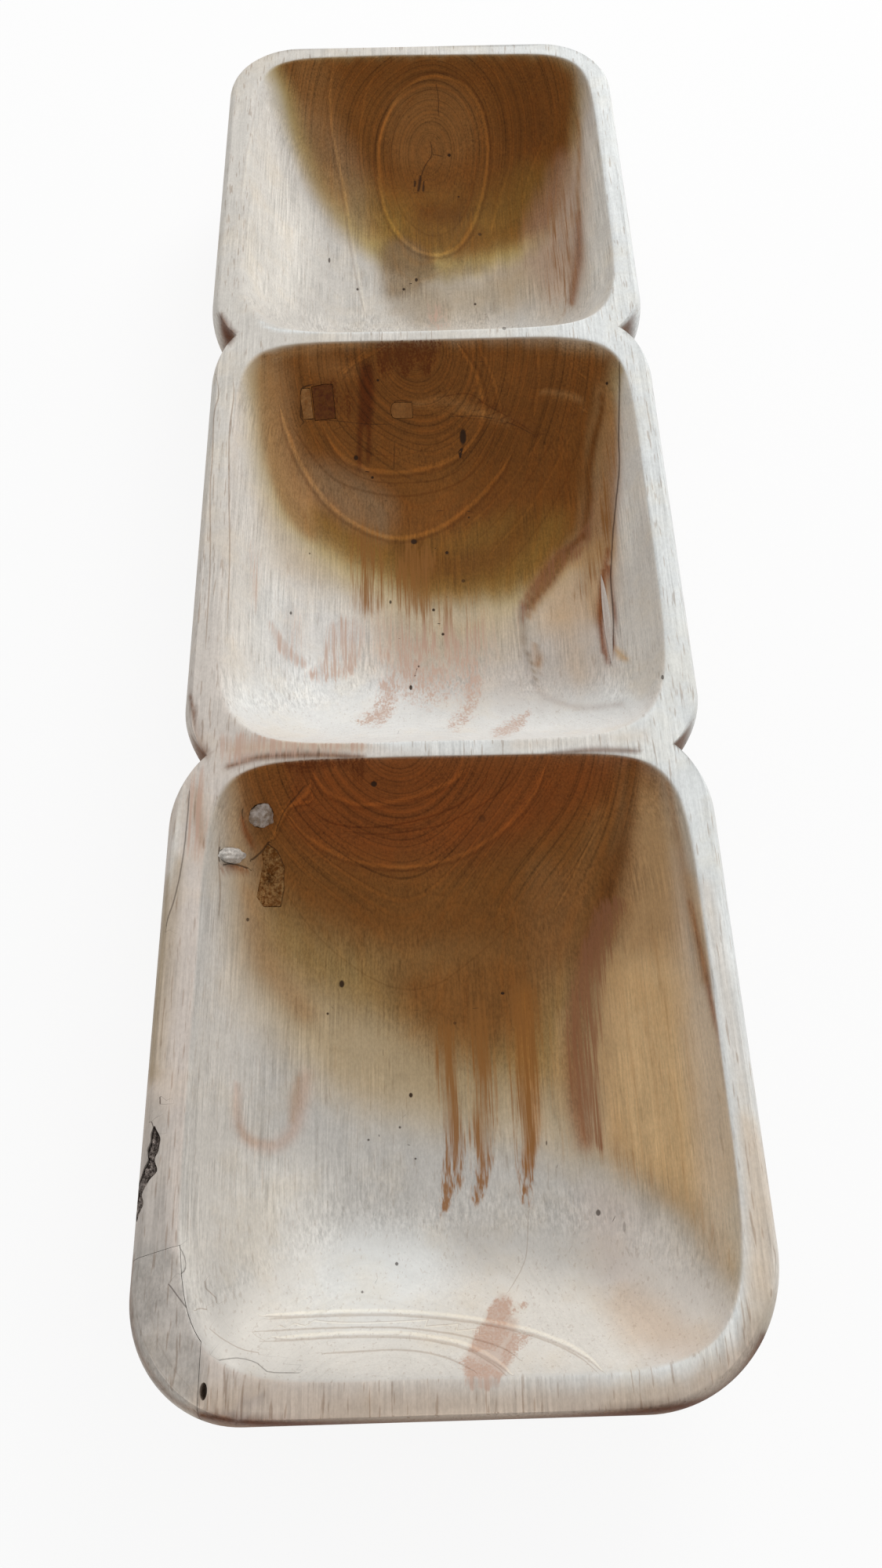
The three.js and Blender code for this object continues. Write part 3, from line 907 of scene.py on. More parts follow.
BRUSHES = {
    Zone.FAR: (
        Brush("red streak", Tone.PLUM, (3, 8, 5), 0.8, "738,270 738,320 734,355 729,386"),
        Brush("low shade", Tone.TAUPE, (9, 14, 9), 0.5, "532,345 566,348 612,340"),
        Brush("side line", Tone.TAWNY, (2, 3, 2), 0.7, "736,140 739,190 737,240 738,282"),
    ),
    Zone.MIDDLE: (
        Brush("plum line", Tone.UMBER, (3, 6, 8), 0.9,
            "768,500 767,526 757,566 751,605 752,633 748,661 745,683"),
        Brush("plum bend", Tone.PLUM, (3, 6, 4), 0.75, "748,672 736,690 714,706 692,734 675,756 664,778"),
        Brush("plum brown", Tone.UMBER, (4, 8, 6), 0.7, "744,684 722,706 698,736 676,772"),
        Brush("plum shade", Tone.TAWNY, (4, 9, 4), 0.6, "742,700 722,716 702,742 686,764 674,786"),
        Brush("plum core", Tone.UMBER, (2, 4, 3.5), 0.5, "734,694 719,716 706,738 685,761 669,778"),
        Brush("plum foot", Tone.TAUPE, (3, 2.2, 2), 0.65, "670,774 666,797 669,823 679,849 685,872"),
        Brush("wedge brown right", Tone.RUSSET, (1.5, 2.6, 1.5), 0.75,
            "777,722 782,750 784,784 783,815 780,842"),
        Brush("wedge brown left", Tone.RUSSET, (1.5, 2.4, 1.5), 0.6, "769,728 766,766 766,800 769,832"),
        Brush("plum tail", Tone.SMOKE, (5, 4, 4), 0.42,
            "664,776 666,806 670,834 678,862 692,886 720,898 748,903 793,898"),
        Brush("knot red", Tone.RUST, (2.5, 5, 2.5), 0.7, "532,516 568,525 610,525 651,533 678,550"),
        Brush("knot upper", Tone.RUST, (2, 3.5, 2), 0.6, "536,516 559,507 586,505 612,507"),
        Brush("knot right", Tone.RUST, (2, 4, 2), 0.65, "702,504 722,508 744,514"),
        Brush("knot", Tone.TAWNY, (4, 7, 3), 0.4, "528,516 560,512 590,518 620,530 650,540"),
        Brush("knot shade", Tone.DARK, (2, 4, 3), 0.5, "600,506 630,520 660,538 686,556"),
        Brush("top tawny", Tone.TAWNY, (12, 18, 10), 0.35, "396,460 424,468 448,472"),
        Brush("lip light", Tone.TAWNY, (3, 5, 2), 0.7, "336,456 400,444 454,440"),
        Brush("knot side", Tone.TAWNY, (2, 3, 2), 0.6, "692,500 732,506 746,522"),
        Brush("wedge side", Tone.RUSSET, (3, 6, 3), 0.8, "776,700 769,750 766,790 770,820 776,846"),
        Brush("tan side", Tone.TAN, (14, 24, 16), 0.28, "716,790 730,830 740,862"),
        Brush("tan spot", Tone.TAWNY, (2, 6, 2), 0.7, "684,822 686,838 688,858"),
        Brush("tan spot right", Tone.TAN, (3, 6, 3), 0.8, "786,828 792,836 800,842"),
    ),
    Zone.NEAR: (
        Brush("plum top", Tone.UMBER, (9, 14, 14), 0.72, "810,966 799,1050 785,1110 768,1160 751,1216"),
        Brush("plum band", Tone.PLUM, (10, 14, 13), 0.75,
            "772,1160 748,1222 734,1290 731,1350 735,1410 746,1458"),
        Brush("band left", Tone.TAN, (5, 9, 6), 0.4, "716,1290 712,1350 716,1420"),
        Brush("band right", Tone.TAN, (6, 11, 6), 0.4, "786,1216 768,1290 772,1380"),
        Brush("rust gold", Tone.AMBER, (10, 13, 6), 0.62, "668,1270 670,1330 676,1390 680,1440 672,1486"),
        Brush("plum glow", Tone.TAWNY, (10, 24, 14), 0.22, "800,1150 786,1230 776,1310 776,1390 790,1450"),
        # Painted shadow with the heartwood's brown on the side of the near heart.
        Brush("heart side", Tone.TAWNY, (10, 16, 10), 0.35, "764,1036 750,1092 738,1150"),
        Brush("wall light", Tone.TAN, (8, 12, 8), 0.4, "880,1120 891,1170 902,1226"),
        Brush("side streak", Tone.RUSSET, (3, 6, 4), 0.7,
            "880,1151 895,1218 909,1285 926,1350 938,1430 948,1530 954,1620"),
        Brush("bead stain", Tone.RUSSET, (3, 4, 3), 0.8, "284,1108 298,1106 314,1110"),
        Brush("bead side", Tone.RUSSET, (2, 4, 3), 0.7, "308,1038 312,1058 322,1078"),
        Brush("side shade", Tone.TAWNY, (3, 8, 8), 0.5, "852,1000 872,1110 900,1250"),
        Brush("left loop", Tone.BLUSH, (5, 9, 9), 0.5,
            "302,1385 304,1430 318,1455 350,1462 375,1440 386,1400 390,1372"),
        Brush("loop side", Tone.TAWNY, (4, 8, 4), 0.4, "372,1430 376,1402 380,1376"),
        Brush("loop foot", Tone.TAWNY, (3, 6, 3), 0.25, "304,1436 318,1454 346,1458"),
        Brush("top corner", Tone.HEART, (7, 9, 8), 0.5, "308,988 322,981 346,975"),
        Brush("left amber", Tone.TAWNY, (12, 24, 16), 0.42, "318,1140 326,1186 348,1240 390,1292"),
        Brush("pale ridge", Tone.CHALK, (8, 14, 10), 0.6, "232,1570 246,1640 268,1700 300,1744"),
    ),
    Zone.RIM: (
        # Painted shade: a dark line along the foot of the front face.
        Brush("front line", Tone.DARK, (6, 8, 8), 0.95,
            "258,1806 330,1815 450,1818 600,1817 720,1811 860,1796 915,1780 952,1748 976,1706"),
        Brush("block edge", Tone.UMBER, (2, 3, 4), 0.5,
            "170,1606 166,1650 172,1706 191,1750 221,1785 258,1806"),
        Brush("right warm", Tone.TAN, (10, 14, 22), 0.24, "900,1130 925,1260 948,1400 964,1520 974,1640"),
        Brush("divider tan", Tone.TAN, (10, 12, 10), 0.2, "660,950 750,945 820,938"),
        Brush("divider pale", Tone.SNOW, (10, 12, 10), 0.6, "500,948 560,950 620,950"),
        Brush("orange stain", Tone.TAWNY, (5, 8, 5), 0.5, "252,1010 253,1040 258,1078"),
        # Painted highlight: a cream strip along the left outer edge.
        Brush("cream strip", Tone.CHALK, (3, 6, 3), 0.7, "236,1004 226,1060 216,1130"),
        Brush("far lip light", Tone.SNOW, (2, 3, 2), 0.8,
            "332,411 354,421 410,423 494,422 584,419 662,417 735,409"),
        Brush("middle lip glow", Tone.SNOW, (2, 4, 2), 0.8,
            "307,917 368,938 453,946 563,943 666,937 758,918 801,900"),
        Brush("left shade", Tone.DRIFT, (8, 16, 12), 0.55, "228,1100 214,1200 205,1300 198,1370"),
        Brush("divider warm", Tone.TAN, (8, 10, 8), 0.35, "300,956 380,950 460,952"),
        Brush("divider dark", Tone.UMBER, (3, 5, 4), 0.7, "700,962 760,957 812,958"),
        Brush("lip stain", Tone.UMBER, (4, 6, 4), 0.8, "290,978 332,966 400,963 462,966"),
        Brush("left edge", Tone.DRIFT, (3, 4, 3), 0.6, "214,1120 206,1220 198,1300 192,1380"),
        # Painted shade down the near notch.
        Brush("near notch", Tone.UMBER, (2, 4, 5), 0.8, "242,884 247,910 253,936 262,960"),
        Brush("branch stain", Tone.SMOKE, (6, 5, 3), 0.75, "304,1806 310,1790 322,1772"),
        Brush("branch twig", Tone.SMOKE, (4, 5, 3), 0.6, "312,1788 324,1790 336,1778"),
    ),
}

LINES = {
    Zone.FAR: (
        Line("oval ring", Ink.RING, 2.8, 0.95,
            "557,97 529,105 506,126 489,163 482,199 486,240 494,274 510,301 530,318 553,325 578,319 "
            "597,298 610,266 620,222 621,180 612,140 590,108", True),
        Line("oval inner", Ink.GRAIN, 1.6, 0.4,
            "560,112 530,122 508,152 498,196 502,240 516,276 546,300 578,292 600,256 608,208 604,160 "
            "588,124", True),
        Line("left ring", Ink.RING, 2.4, 0.7,
            "426,74 421,123 424,166 433,212 441,252 449,305 459,358 466,401"),
        Line("faint ring", Ink.RING, 2.4, 0.35, "486,83 469,113 461,156 461,199 470,250"),
        Line("right ring", Ink.RING, 2.4, 0.4, "628,80 642,120 650,160 651,206 638,252 625,299"),
        Line("right edge ring", Ink.RING, 1.8, 0.35, "694,178 678,215 665,262"),
        Line("heart check", Ink.CRACK, 0.8, 0.7, "555,103 559,123 559,149"),
        Line("pith check", Ink.CRACK, 0.9, 0.8, "549,179 551,192 550,200 542,212 537,226"),
        Line("pith fork", Ink.CRACK, 0.8, 0.7, "550,197 558,198 566,200"),
        Line("split one", Ink.CRACK, 2.6, 1.0, "537,222 535,235 533,246"),
        Line("split two", Ink.CRACK, 2.0, 1.0, "530,226 529,236 528,242"),
        Line("split three", Ink.CRACK, 1.8, 1.0, "541,230 540,240 539,247"),
    ),
    Zone.MIDDLE: (
        Line("inner ring", Ink.RING, 3.3, 0.9,
            "411,541 427,571 451,591 483,601 523,601 563,591 592,575 608,553 616,533 616,512 608,480 "
            "592,452 581,436"),
        Line("outer ring", Ink.RING, 3.3, 1.0,
            "356,516 367,553 387,597 411,633 439,659 475,679 507,686 539,681 571,667 604,641 636,605 "
            "654,578"),
        Line("grey ring", Ink.GRAIN, 2.2, 0.6,
            "371,541 395,577 423,609 459,625 507,633 555,627 596,609 624,573 634,541"),
        Line("third ring", Ink.GRAIN, 1.5, 0.5, "400,556 430,590 470,612 520,616 570,608 606,580 622,552"),
        Line("small ring", Ink.GRAIN, 1.2, 0.45, "420,545 452,570 500,582 545,572 580,552 598,530"),
        Line("right arc", Ink.RING, 2.4, 0.55, "610,440 628,480 638,520 640,545"),
        Line("far right arc", Ink.RING, 2.4, 0.55, "684,436 688,480 684,512 680,533"),
        Line("knot edge", Ink.GRAIN, 1.2, 0.7, "555,508 596,502 618,515 652,534 682,552"),
        Line("knot low edge", Ink.GRAIN, 1.2, 0.6, "560,522 590,532 625,536 660,545"),
        Line("slant one", Ink.GRAIN, 1.8, 0.4, "744,556 722,612 690,668 648,722"),
        Line("slant two", Ink.RING, 2.0, 0.35, "730,552 704,604 668,658 624,708"),
        Line("slant three", Ink.GRAIN, 1.6, 0.4, "714,548 684,596 648,648 604,694"),
        Line("slant four", Ink.RING, 1.8, 0.35, "694,552 664,598 628,642 590,676"),
        Line("sliver edge", Ink.CRACK, 1.0, 0.8, "401,491 392,492 384,497 384,516 386,532 396,535 404,533"),
        Line("chip", Ink.RING, 1.8, 0.9, "404,535 412,533 423,529"),
        Line("knot shadow", Ink.CRACK, 0.9, 0.55, "572,532 610,531 650,540 684,556"),
        Line("sliver joint", Ink.CRACK, 1.2, 0.9, "400,491 387,495 384,512 384,534 392,540"),
        Line("long scratch", Ink.RING, 2.0, 0.7, "434,481 448,466 470,452 490,442"),
        Line("plug edge", Ink.CRACK, 0.9, 0.6, "503,530 502,516 508,511 530,513"),
        Line("wavy line", Ink.CRACK, 1.3, 0.85,
            "790,448 790,500 789,561 790,593 786,637 782,677 780,709 779,741 782,782 782,822 778,850"),
        Line("scratch", Ink.RING, 1.5, 0.7, "497,438 475,452 448,466"),
        Line("scratch two", Ink.RING, 1.4, 0.5, "470,446 440,470 430,482"),
        Line("scratch right", Ink.RING, 1.4, 0.6, "734,472 750,484"),
        Line("scratch low right", Ink.RING, 1.4, 0.6, "738,518 752,528"),
        Line("glue line", Ink.CRACK, 0.7, 0.6, "386,534 430,537 468,541 502,541"),
        Line("drip line", Ink.CRACK, 0.7, 0.6, "503,560 503,580 502,600"),
        Line("edge orange", Ink.GRAIN, 1.3, 0.9, "297,480 298,507 293,546 292,582 292,628 293,708 290,800"),
    ),
    Zone.NEAR: (
        Line("ring one", Ink.RING, 3.3, 0.8,
            "398,984 413,1006 440,1021 471,1026 516,1019 560,1004 587,988 600,968"),
        Line("ring two", Ink.GRAIN, 1.8, 0.8,
            "391,1024 409,1042 435,1053 480,1055 534,1046 583,1028 614,1004 625,980"),
        Line("ring three", Ink.GRAIN, 1.6, 0.7,
            "440,1060 480,1064 516,1061 569,1050 623,1021 654,995 668,972"),
        Line("ring four", Ink.RING, 3.0, 0.8,
            "368,1039 386,1062 422,1086 462,1100 516,1106 569,1097 614,1077 654,1046 681,1012 696,980"),
        Line("ring five", Ink.GRAIN, 1.6, 0.4,
            "364,1138 395,1182 431,1218 476,1249 516,1262 560,1254 609,1218 659,1173"),
        Line("jagged ring", Ink.RING, 1.8, 0.6, "786,985 772,1039 748,1084 726,1129 703,1169"),
        Line("crack stem", Ink.CRACK, 1.8, 0.9, "318,1100 334,1086 346,1070"),
        Line("crack fibre", Ink.RING, 3.0, 1.0, "346,1074 356,1050 366,1030 380,1022 392,1010 398,994"),
        Line("crack branch", Ink.RING, 2.2, 0.9, "366,1030 384,1024 400,1022"),
        Line("crack shade", Ink.CRACK, 1.4, 0.7, "352,1062 362,1036 376,1018 392,998"),
        Line("bead crack", Ink.CRACK, 1.5, 0.9, "281,1104 296,1102 312,1106 322,1112"),
        Line("bead crack left", Ink.CRACK, 1.2, 0.9, "281,1078 279,1092 282,1106"),
        Line("bead shadow", Ink.CRACK, 1.2, 0.8, "310,1030 308,1042 314,1048"),
        Line("foot line", Ink.GRAIN, 0.9, 0.6, "674,1535 672,1594 664,1621 645,1653"),
        # Painted light and shade on the front ridges: pale lines on their crests, dark lines beneath them.
        Line("ridge one", Ink.GRAIN, 1.7, 0.6,
            "331,1683 417,1679 503,1678 578,1684 642,1694 696,1710 739,1731 765,1753"),
        Line("ridge one light", Ink.RING, 3.0, 0.95,
            "331,1678 417,1673 503,1672 578,1678 642,1688 700,1704 745,1726 771,1750"),
        Line("ridge two", Ink.GRAIN, 1.7, 0.6, "321,1699 417,1694 514,1694 589,1704 642,1720 668,1738"),
        Line("ridge three", Ink.GRAIN, 1.7, 0.6, "330,1712 439,1706 524,1707 589,1719 626,1738 650,1758"),
        Line("ridge three light", Ink.RING, 3.0, 0.95,
            "345,1707 439,1700 524,1701 591,1713 630,1732 655,1754"),
        Line("ridge four", Ink.GRAIN, 1.7, 0.6, "400,1728 439,1725 514,1722 567,1731 612,1752"),
        Line("blue crack", Ink.CRACK, 0.9, 0.6, "258,1726 263,1737 304,1732 330,1740 343,1750 391,1751"),
        Line("flake one", Ink.CRACK, 0.9, 0.6, "226,1586 235,1602 237,1618 230,1626"),
        Line("flake two", Ink.GRAIN, 1.0, 0.8, "261,1628 263,1644 274,1653 278,1664"),
        Line("flake three", Ink.GRAIN, 1.0, 0.8, "246,1671 258,1669 268,1672"),
        Line("flake four", Ink.GRAIN, 0.9, 0.7, "262,1690 284,1708 312,1722 340,1726"),
        Line("edge line", Ink.GRAIN, 1.2, 0.8, "280,1063 279,1100 281,1140 278,1179"),
    ),
    Zone.RIM: (
        Line("near corner split", Ink.CRACK, 1.2, 0.7, "212,1634 224,1650 236,1666 246,1676"),
        Line("bark line", Ink.CRACK, 0.9, 0.8, "205,1396 203,1404 207,1414"),
        Line("bark line low", Ink.CRACK, 0.9, 0.8, "192,1424 194,1434 200,1448"),
        Line("block grain one", Ink.GRAIN, 1.2, 0.25, "178,1608 172,1650 180,1700 204,1748 240,1790"),
        Line("block grain two", Ink.GRAIN, 1.2, 0.2, "196,1606 190,1650 198,1700 220,1744 248,1776"),
        Line("left orange", Ink.RING, 1.8, 0.5, "334,116 322,173 314,212 309,272"),
        Line("middle orange", Ink.GRAIN, 1.3, 0.9,
            "297,480 298,507 293,546 292,582 292,628 293,708 290,800"),
        Line("middle ridge", Ink.GRAIN, 1.2, 0.9,
            "275,473 279,503 273,528 271,582 268,628 268,720 262,830"),
        Line("near split", Ink.CRACK, 1.2, 0.7, "242,1001 238,1054 232,1101 224,1141 214,1172 210,1191"),
        Line("near edge line", Ink.GRAIN, 1.2, 0.8, "280,1063 279,1100 281,1140 278,1179"),
    ),
}

STAINS = {
    Zone.FAR: (
        Stain("tongue", Streak.BLUSH, 10, 0.6, "546,390 564,392 568,420 550,420"),
        Stain("right streaks", Streak.RUST, 22, 0.5, "690,290 726,220 740,260 734,384 700,388"),
    ),
    Zone.MIDDLE: (
        Stain("top streaks", Streak.SOOT, 9, 1.0,
            "484,432 560,430 556,452 545,480 530,470 515,480 500,470 488,478"),
        Stain("top left", Streak.SOOT, 12, 0.2, "340,446 470,434 470,458 420,474 380,482 350,466"),
        Stain("patch stain", Streak.SOOT, 10, 0.6, "400,486 440,486 452,510 446,532 414,536 398,512"),
        Stain("plum", Streak.PLUM, 6, 0.62,
            "755,640 748,672 736,690 714,703 692,728 672,752 661,778 662,800 676,790 684,768 700,748 "
            "722,724 746,706 757,690 760,660"),
        Stain("red streaks", Streak.RUST, 12, 0.5,
            "764,560 786,560 784,660 776,720 750,760 720,770 740,720 756,680"),
        Stain("rust fringe", Streak.RUST, 16, 0.78, "450,678 486,682 494,730 488,772 466,786 450,762"),
        Stain("rust patch", Streak.RUST, 16, 0.95, "506,700 550,704 556,750 538,792 508,770"),
        Stain("tan floor", Streak.RUST, 30, 0.42,
            "484,740 560,752 624,742 618,812 571,840 511,826 490,790"),
        Stain("pink floor", Streak.BLUSH, 26, 0.72, "484,790 560,800 620,800 612,860 560,896 500,880"),
        Stain("swirl", Streak.BLUSH, 8, 0.75,
            "423,792 457,790 461,830 451,856 425,872 399,866 393,858 409,846 413,822"),
        Stain("swirl side", Streak.BLUSH, 8, 0.45, "362,776 380,778 386,820 376,846 364,812"),
        Stain("stroke", Streak.BLUSH, 8, 0.95, "490,866 510,862 502,904 486,922 461,925 457,916 479,902"),
        Stain("stroke two", Streak.BLUSH, 9, 0.8, "592,860 614,860 608,902 586,930 572,928 590,896"),
        Stain("stroke three", Streak.BLUSH, 7, 0.95, "676,908 668,926 638,940 628,934 650,918"),
        Stain("left loop", Streak.BLUSH, 5, 0.8, "342,790 364,816 388,842 382,852 354,828"),
        Stain("left streak", Streak.BLUSH, 8, 0.6, "316,700 328,700 334,774 322,776"),
    ),
    Zone.NEAR: (
        Stain("top stain", Streak.SOOT, 6, 0.8,
            "340,956 470,952 468,978 458,1000 448,984 420,978 392,988 360,980"),
        Stain("plum", Streak.PLUM, 9, 1.0,
            "768,1150 752,1190 738,1230 726,1275 722,1330 728,1390 736,1436 748,1458 768,1466 770,1430 "
            "766,1380 764,1330 768,1275 776,1230 788,1185 796,1150"),
        Stain("wall fringe", Streak.RUST, 20, 0.28,
            "696,1420 760,1436 860,1478 932,1560 946,1640 904,1606 850,1546 780,1504 716,1476"),
        Stain("rust one", Streak.RUST, 7, 1.0,
            "558,1310 578,1310 584,1396 594,1460 588,1510 560,1552 566,1500 567,1440 560,1380"),
        Stain("rust two", Streak.RUST, 7, 1.0,
            "600,1282 620,1284 628,1380 632,1440 626,1490 606,1536 604,1480 600,1440 606,1390"),
        Stain("rust three", Streak.RUST, 8, 1.0,
            "650,1262 684,1262 686,1380 686,1450 678,1505 672,1540 663,1505 658,1420 654,1340"),
        Stain("rust wash", Streak.RUST, 34, 0.3,
            "590,1290 640,1290 720,1290 736,1430 716,1490 660,1450 600,1410 570,1340"),
        Stain("wall streaks", Streak.RUST, 30, 0.24,
            "790,1180 860,1200 900,1340 915,1480 880,1530 800,1500 768,1400"),
        Stain("foot top", Streak.BLUSH, 3, 1.0, "634,1655 652,1656 650,1672 643,1687 620,1681"),
        Stain("foot side", Streak.BLUSH, 3, 0.8, "652,1669 664,1660 675,1665 654,1677"),
        Stain("foot middle", Streak.BLUSH, 3, 1.0, "611,1689 647,1694 642,1707 628,1723 596,1722 606,1704"),
        Stain("foot right", Streak.BLUSH, 3, 0.9, "660,1699 679,1704 664,1721 648,1742 638,1736 646,1714"),
        Stain("foot low", Streak.BLUSH, 3, 1.0,
            "588,1732 616,1738 639,1752 634,1763 624,1770 604,1770 594,1757"),
    ),
    Zone.RIM: (
        Stain("near foot rim", Streak.BLUSH, 4, 1.0, "594,1752 636,1752 628,1772 602,1772"),
        Stain("divider stain", Streak.BLUSH, 9, 0.75,
            "284,940 330,934 400,936 462,942 462,958 340,964 290,976"),
        Stain("left stain", Streak.BLUSH, 10, 0.5, "240,990 262,980 270,1050 262,1090 246,1100 234,1060"),
    ),
}

SPOTS = {
    Zone.FAR: (
        Spot("pith", 573, 198, 2.2, 2.2),
        Spot("floor", 531, 357, 2.0, 2.4),
        Spot("floor left", 515, 369, 1.8, 1.8),
        Spot("left floor", 456, 369, 1.6, 1.8, 0.9),
        Spot("left wall nick", 420, 332, 1.4, 3.4, 0.8),
        Spot("right floor", 606, 388, 1.6, 1.6, 0.9),
        Spot("oval side", 612, 299, 2.4, 2.0, 0.7),
        Spot("oval low", 585, 251, 1.4, 1.4, 0.7),
        Spot("lip", 643, 419, 2.6, 2.0, 0.6),
    ),
    Zone.MIDDLE: (
        Spot("ring slot", 590.5, 557, 4.4, 11.0),
        Spot("ring slot tail", 587, 581, 1.6, 3.6),
        Spot("drip foot", 454, 584, 3.0, 3.2),
        Spot("ring", 475, 609, 1.8, 1.8),
        Spot("outer ring hole", 528, 691, 4.0, 3.4),
        Spot("outer ring", 570, 705, 2.2, 2.2),
        Spot("heart edge", 591, 741, 2.6, 2.2, 0.7),
        Spot("floor high", 553, 778, 1.9, 1.9),
        Spot("floor low", 565, 809, 1.9, 1.9),
        Spot("front nick", 524, 877, 1.9, 3.2),
        Spot("rust", 498, 768, 1.6, 2.4, 0.9),
        Spot("left loop", 371, 782, 1.6, 2.0, 0.8),
        Spot("front", 534, 850, 1.2, 1.4, 0.8),
        Spot("left edge", 395, 706, 1.2, 1.2, 0.7),
        Spot("top right", 774, 489, 1.8, 2.0),
        Spot("right rim nick", 845, 864, 1.8, 3.0, 0.8),
        Spot("right ring", 598, 660, 1.6, 1.4, 0.8),
        Spot("top", 482, 485, 1.8, 1.8),
    ),
    Zone.NEAR: (
        Spot("top hole", 477, 1000, 4.0, 3.6),
        Spot("ring blot", 615, 1044, 5.0, 5.0, 0.4),
        Spot("left hole", 436, 1255, 3.4, 4.8),
        Spot("centre", 641, 1267, 2.4, 1.8),
        Spot("left", 418, 1293, 1.6, 1.6, 0.9),
        Spot("rust top", 580, 1305, 2.0, 2.0, 0.6),
        Spot("floor hole", 524, 1397, 2.4, 3.0),
        Spot("floor high", 510, 1438, 1.6, 1.6, 0.8),
        Spot("floor left", 470, 1454, 1.5, 1.5, 0.8),
        Spot("floor right", 530, 1478, 1.5, 1.5, 0.8),
        Spot("front", 506, 1612, 2.2, 2.4, 0.8),
        Spot("front left", 462, 1648, 1.6, 1.6, 0.7),
        Spot("right floor hole", 763, 1547, 3.0, 4.0, 0.8),
        Spot("right floor streak", 796, 1565, 2.0, 7.0, 0.35),
        Spot("left wall", 316, 1173, 2.0, 2.4, 0.8),
        Spot("rust side nick", 697, 1458, 1.0, 3.0, 0.7),
    ),
}


def each(marks: dict[Zone, tuple]) -> Iterator[tuple[Zone, object]]:
    """Every mark with its zone, in order."""
    return ((zone, mark) for zone, row in marks.items() for mark in row)


LANES = 4
LANE_GAP = 34.0


def lanes_of(lines: tuple[Line, ...]) -> list[tuple[int, Line]]:
    """Deals one zone's lines into lanes so that neighbours in a lane stand well apart.

    Args:
        lines: the zone's drawn lines, in order.

    Returns:
        Each line with its lane's number.
    """
    dealt: list[tuple[int, Line]] = []
    for line in lines:
        path = line.curve()
        apart = np.full(LANES, 1e9)
        for lane, other in dealt:
            apart[lane] = min(apart[lane], along_path(path, other.curve())[0].min())
        clear = np.flatnonzero(apart > LANE_GAP)
        dealt.append((int(clear[0] if len(clear) else np.argmax(apart)), line))
    return dealt


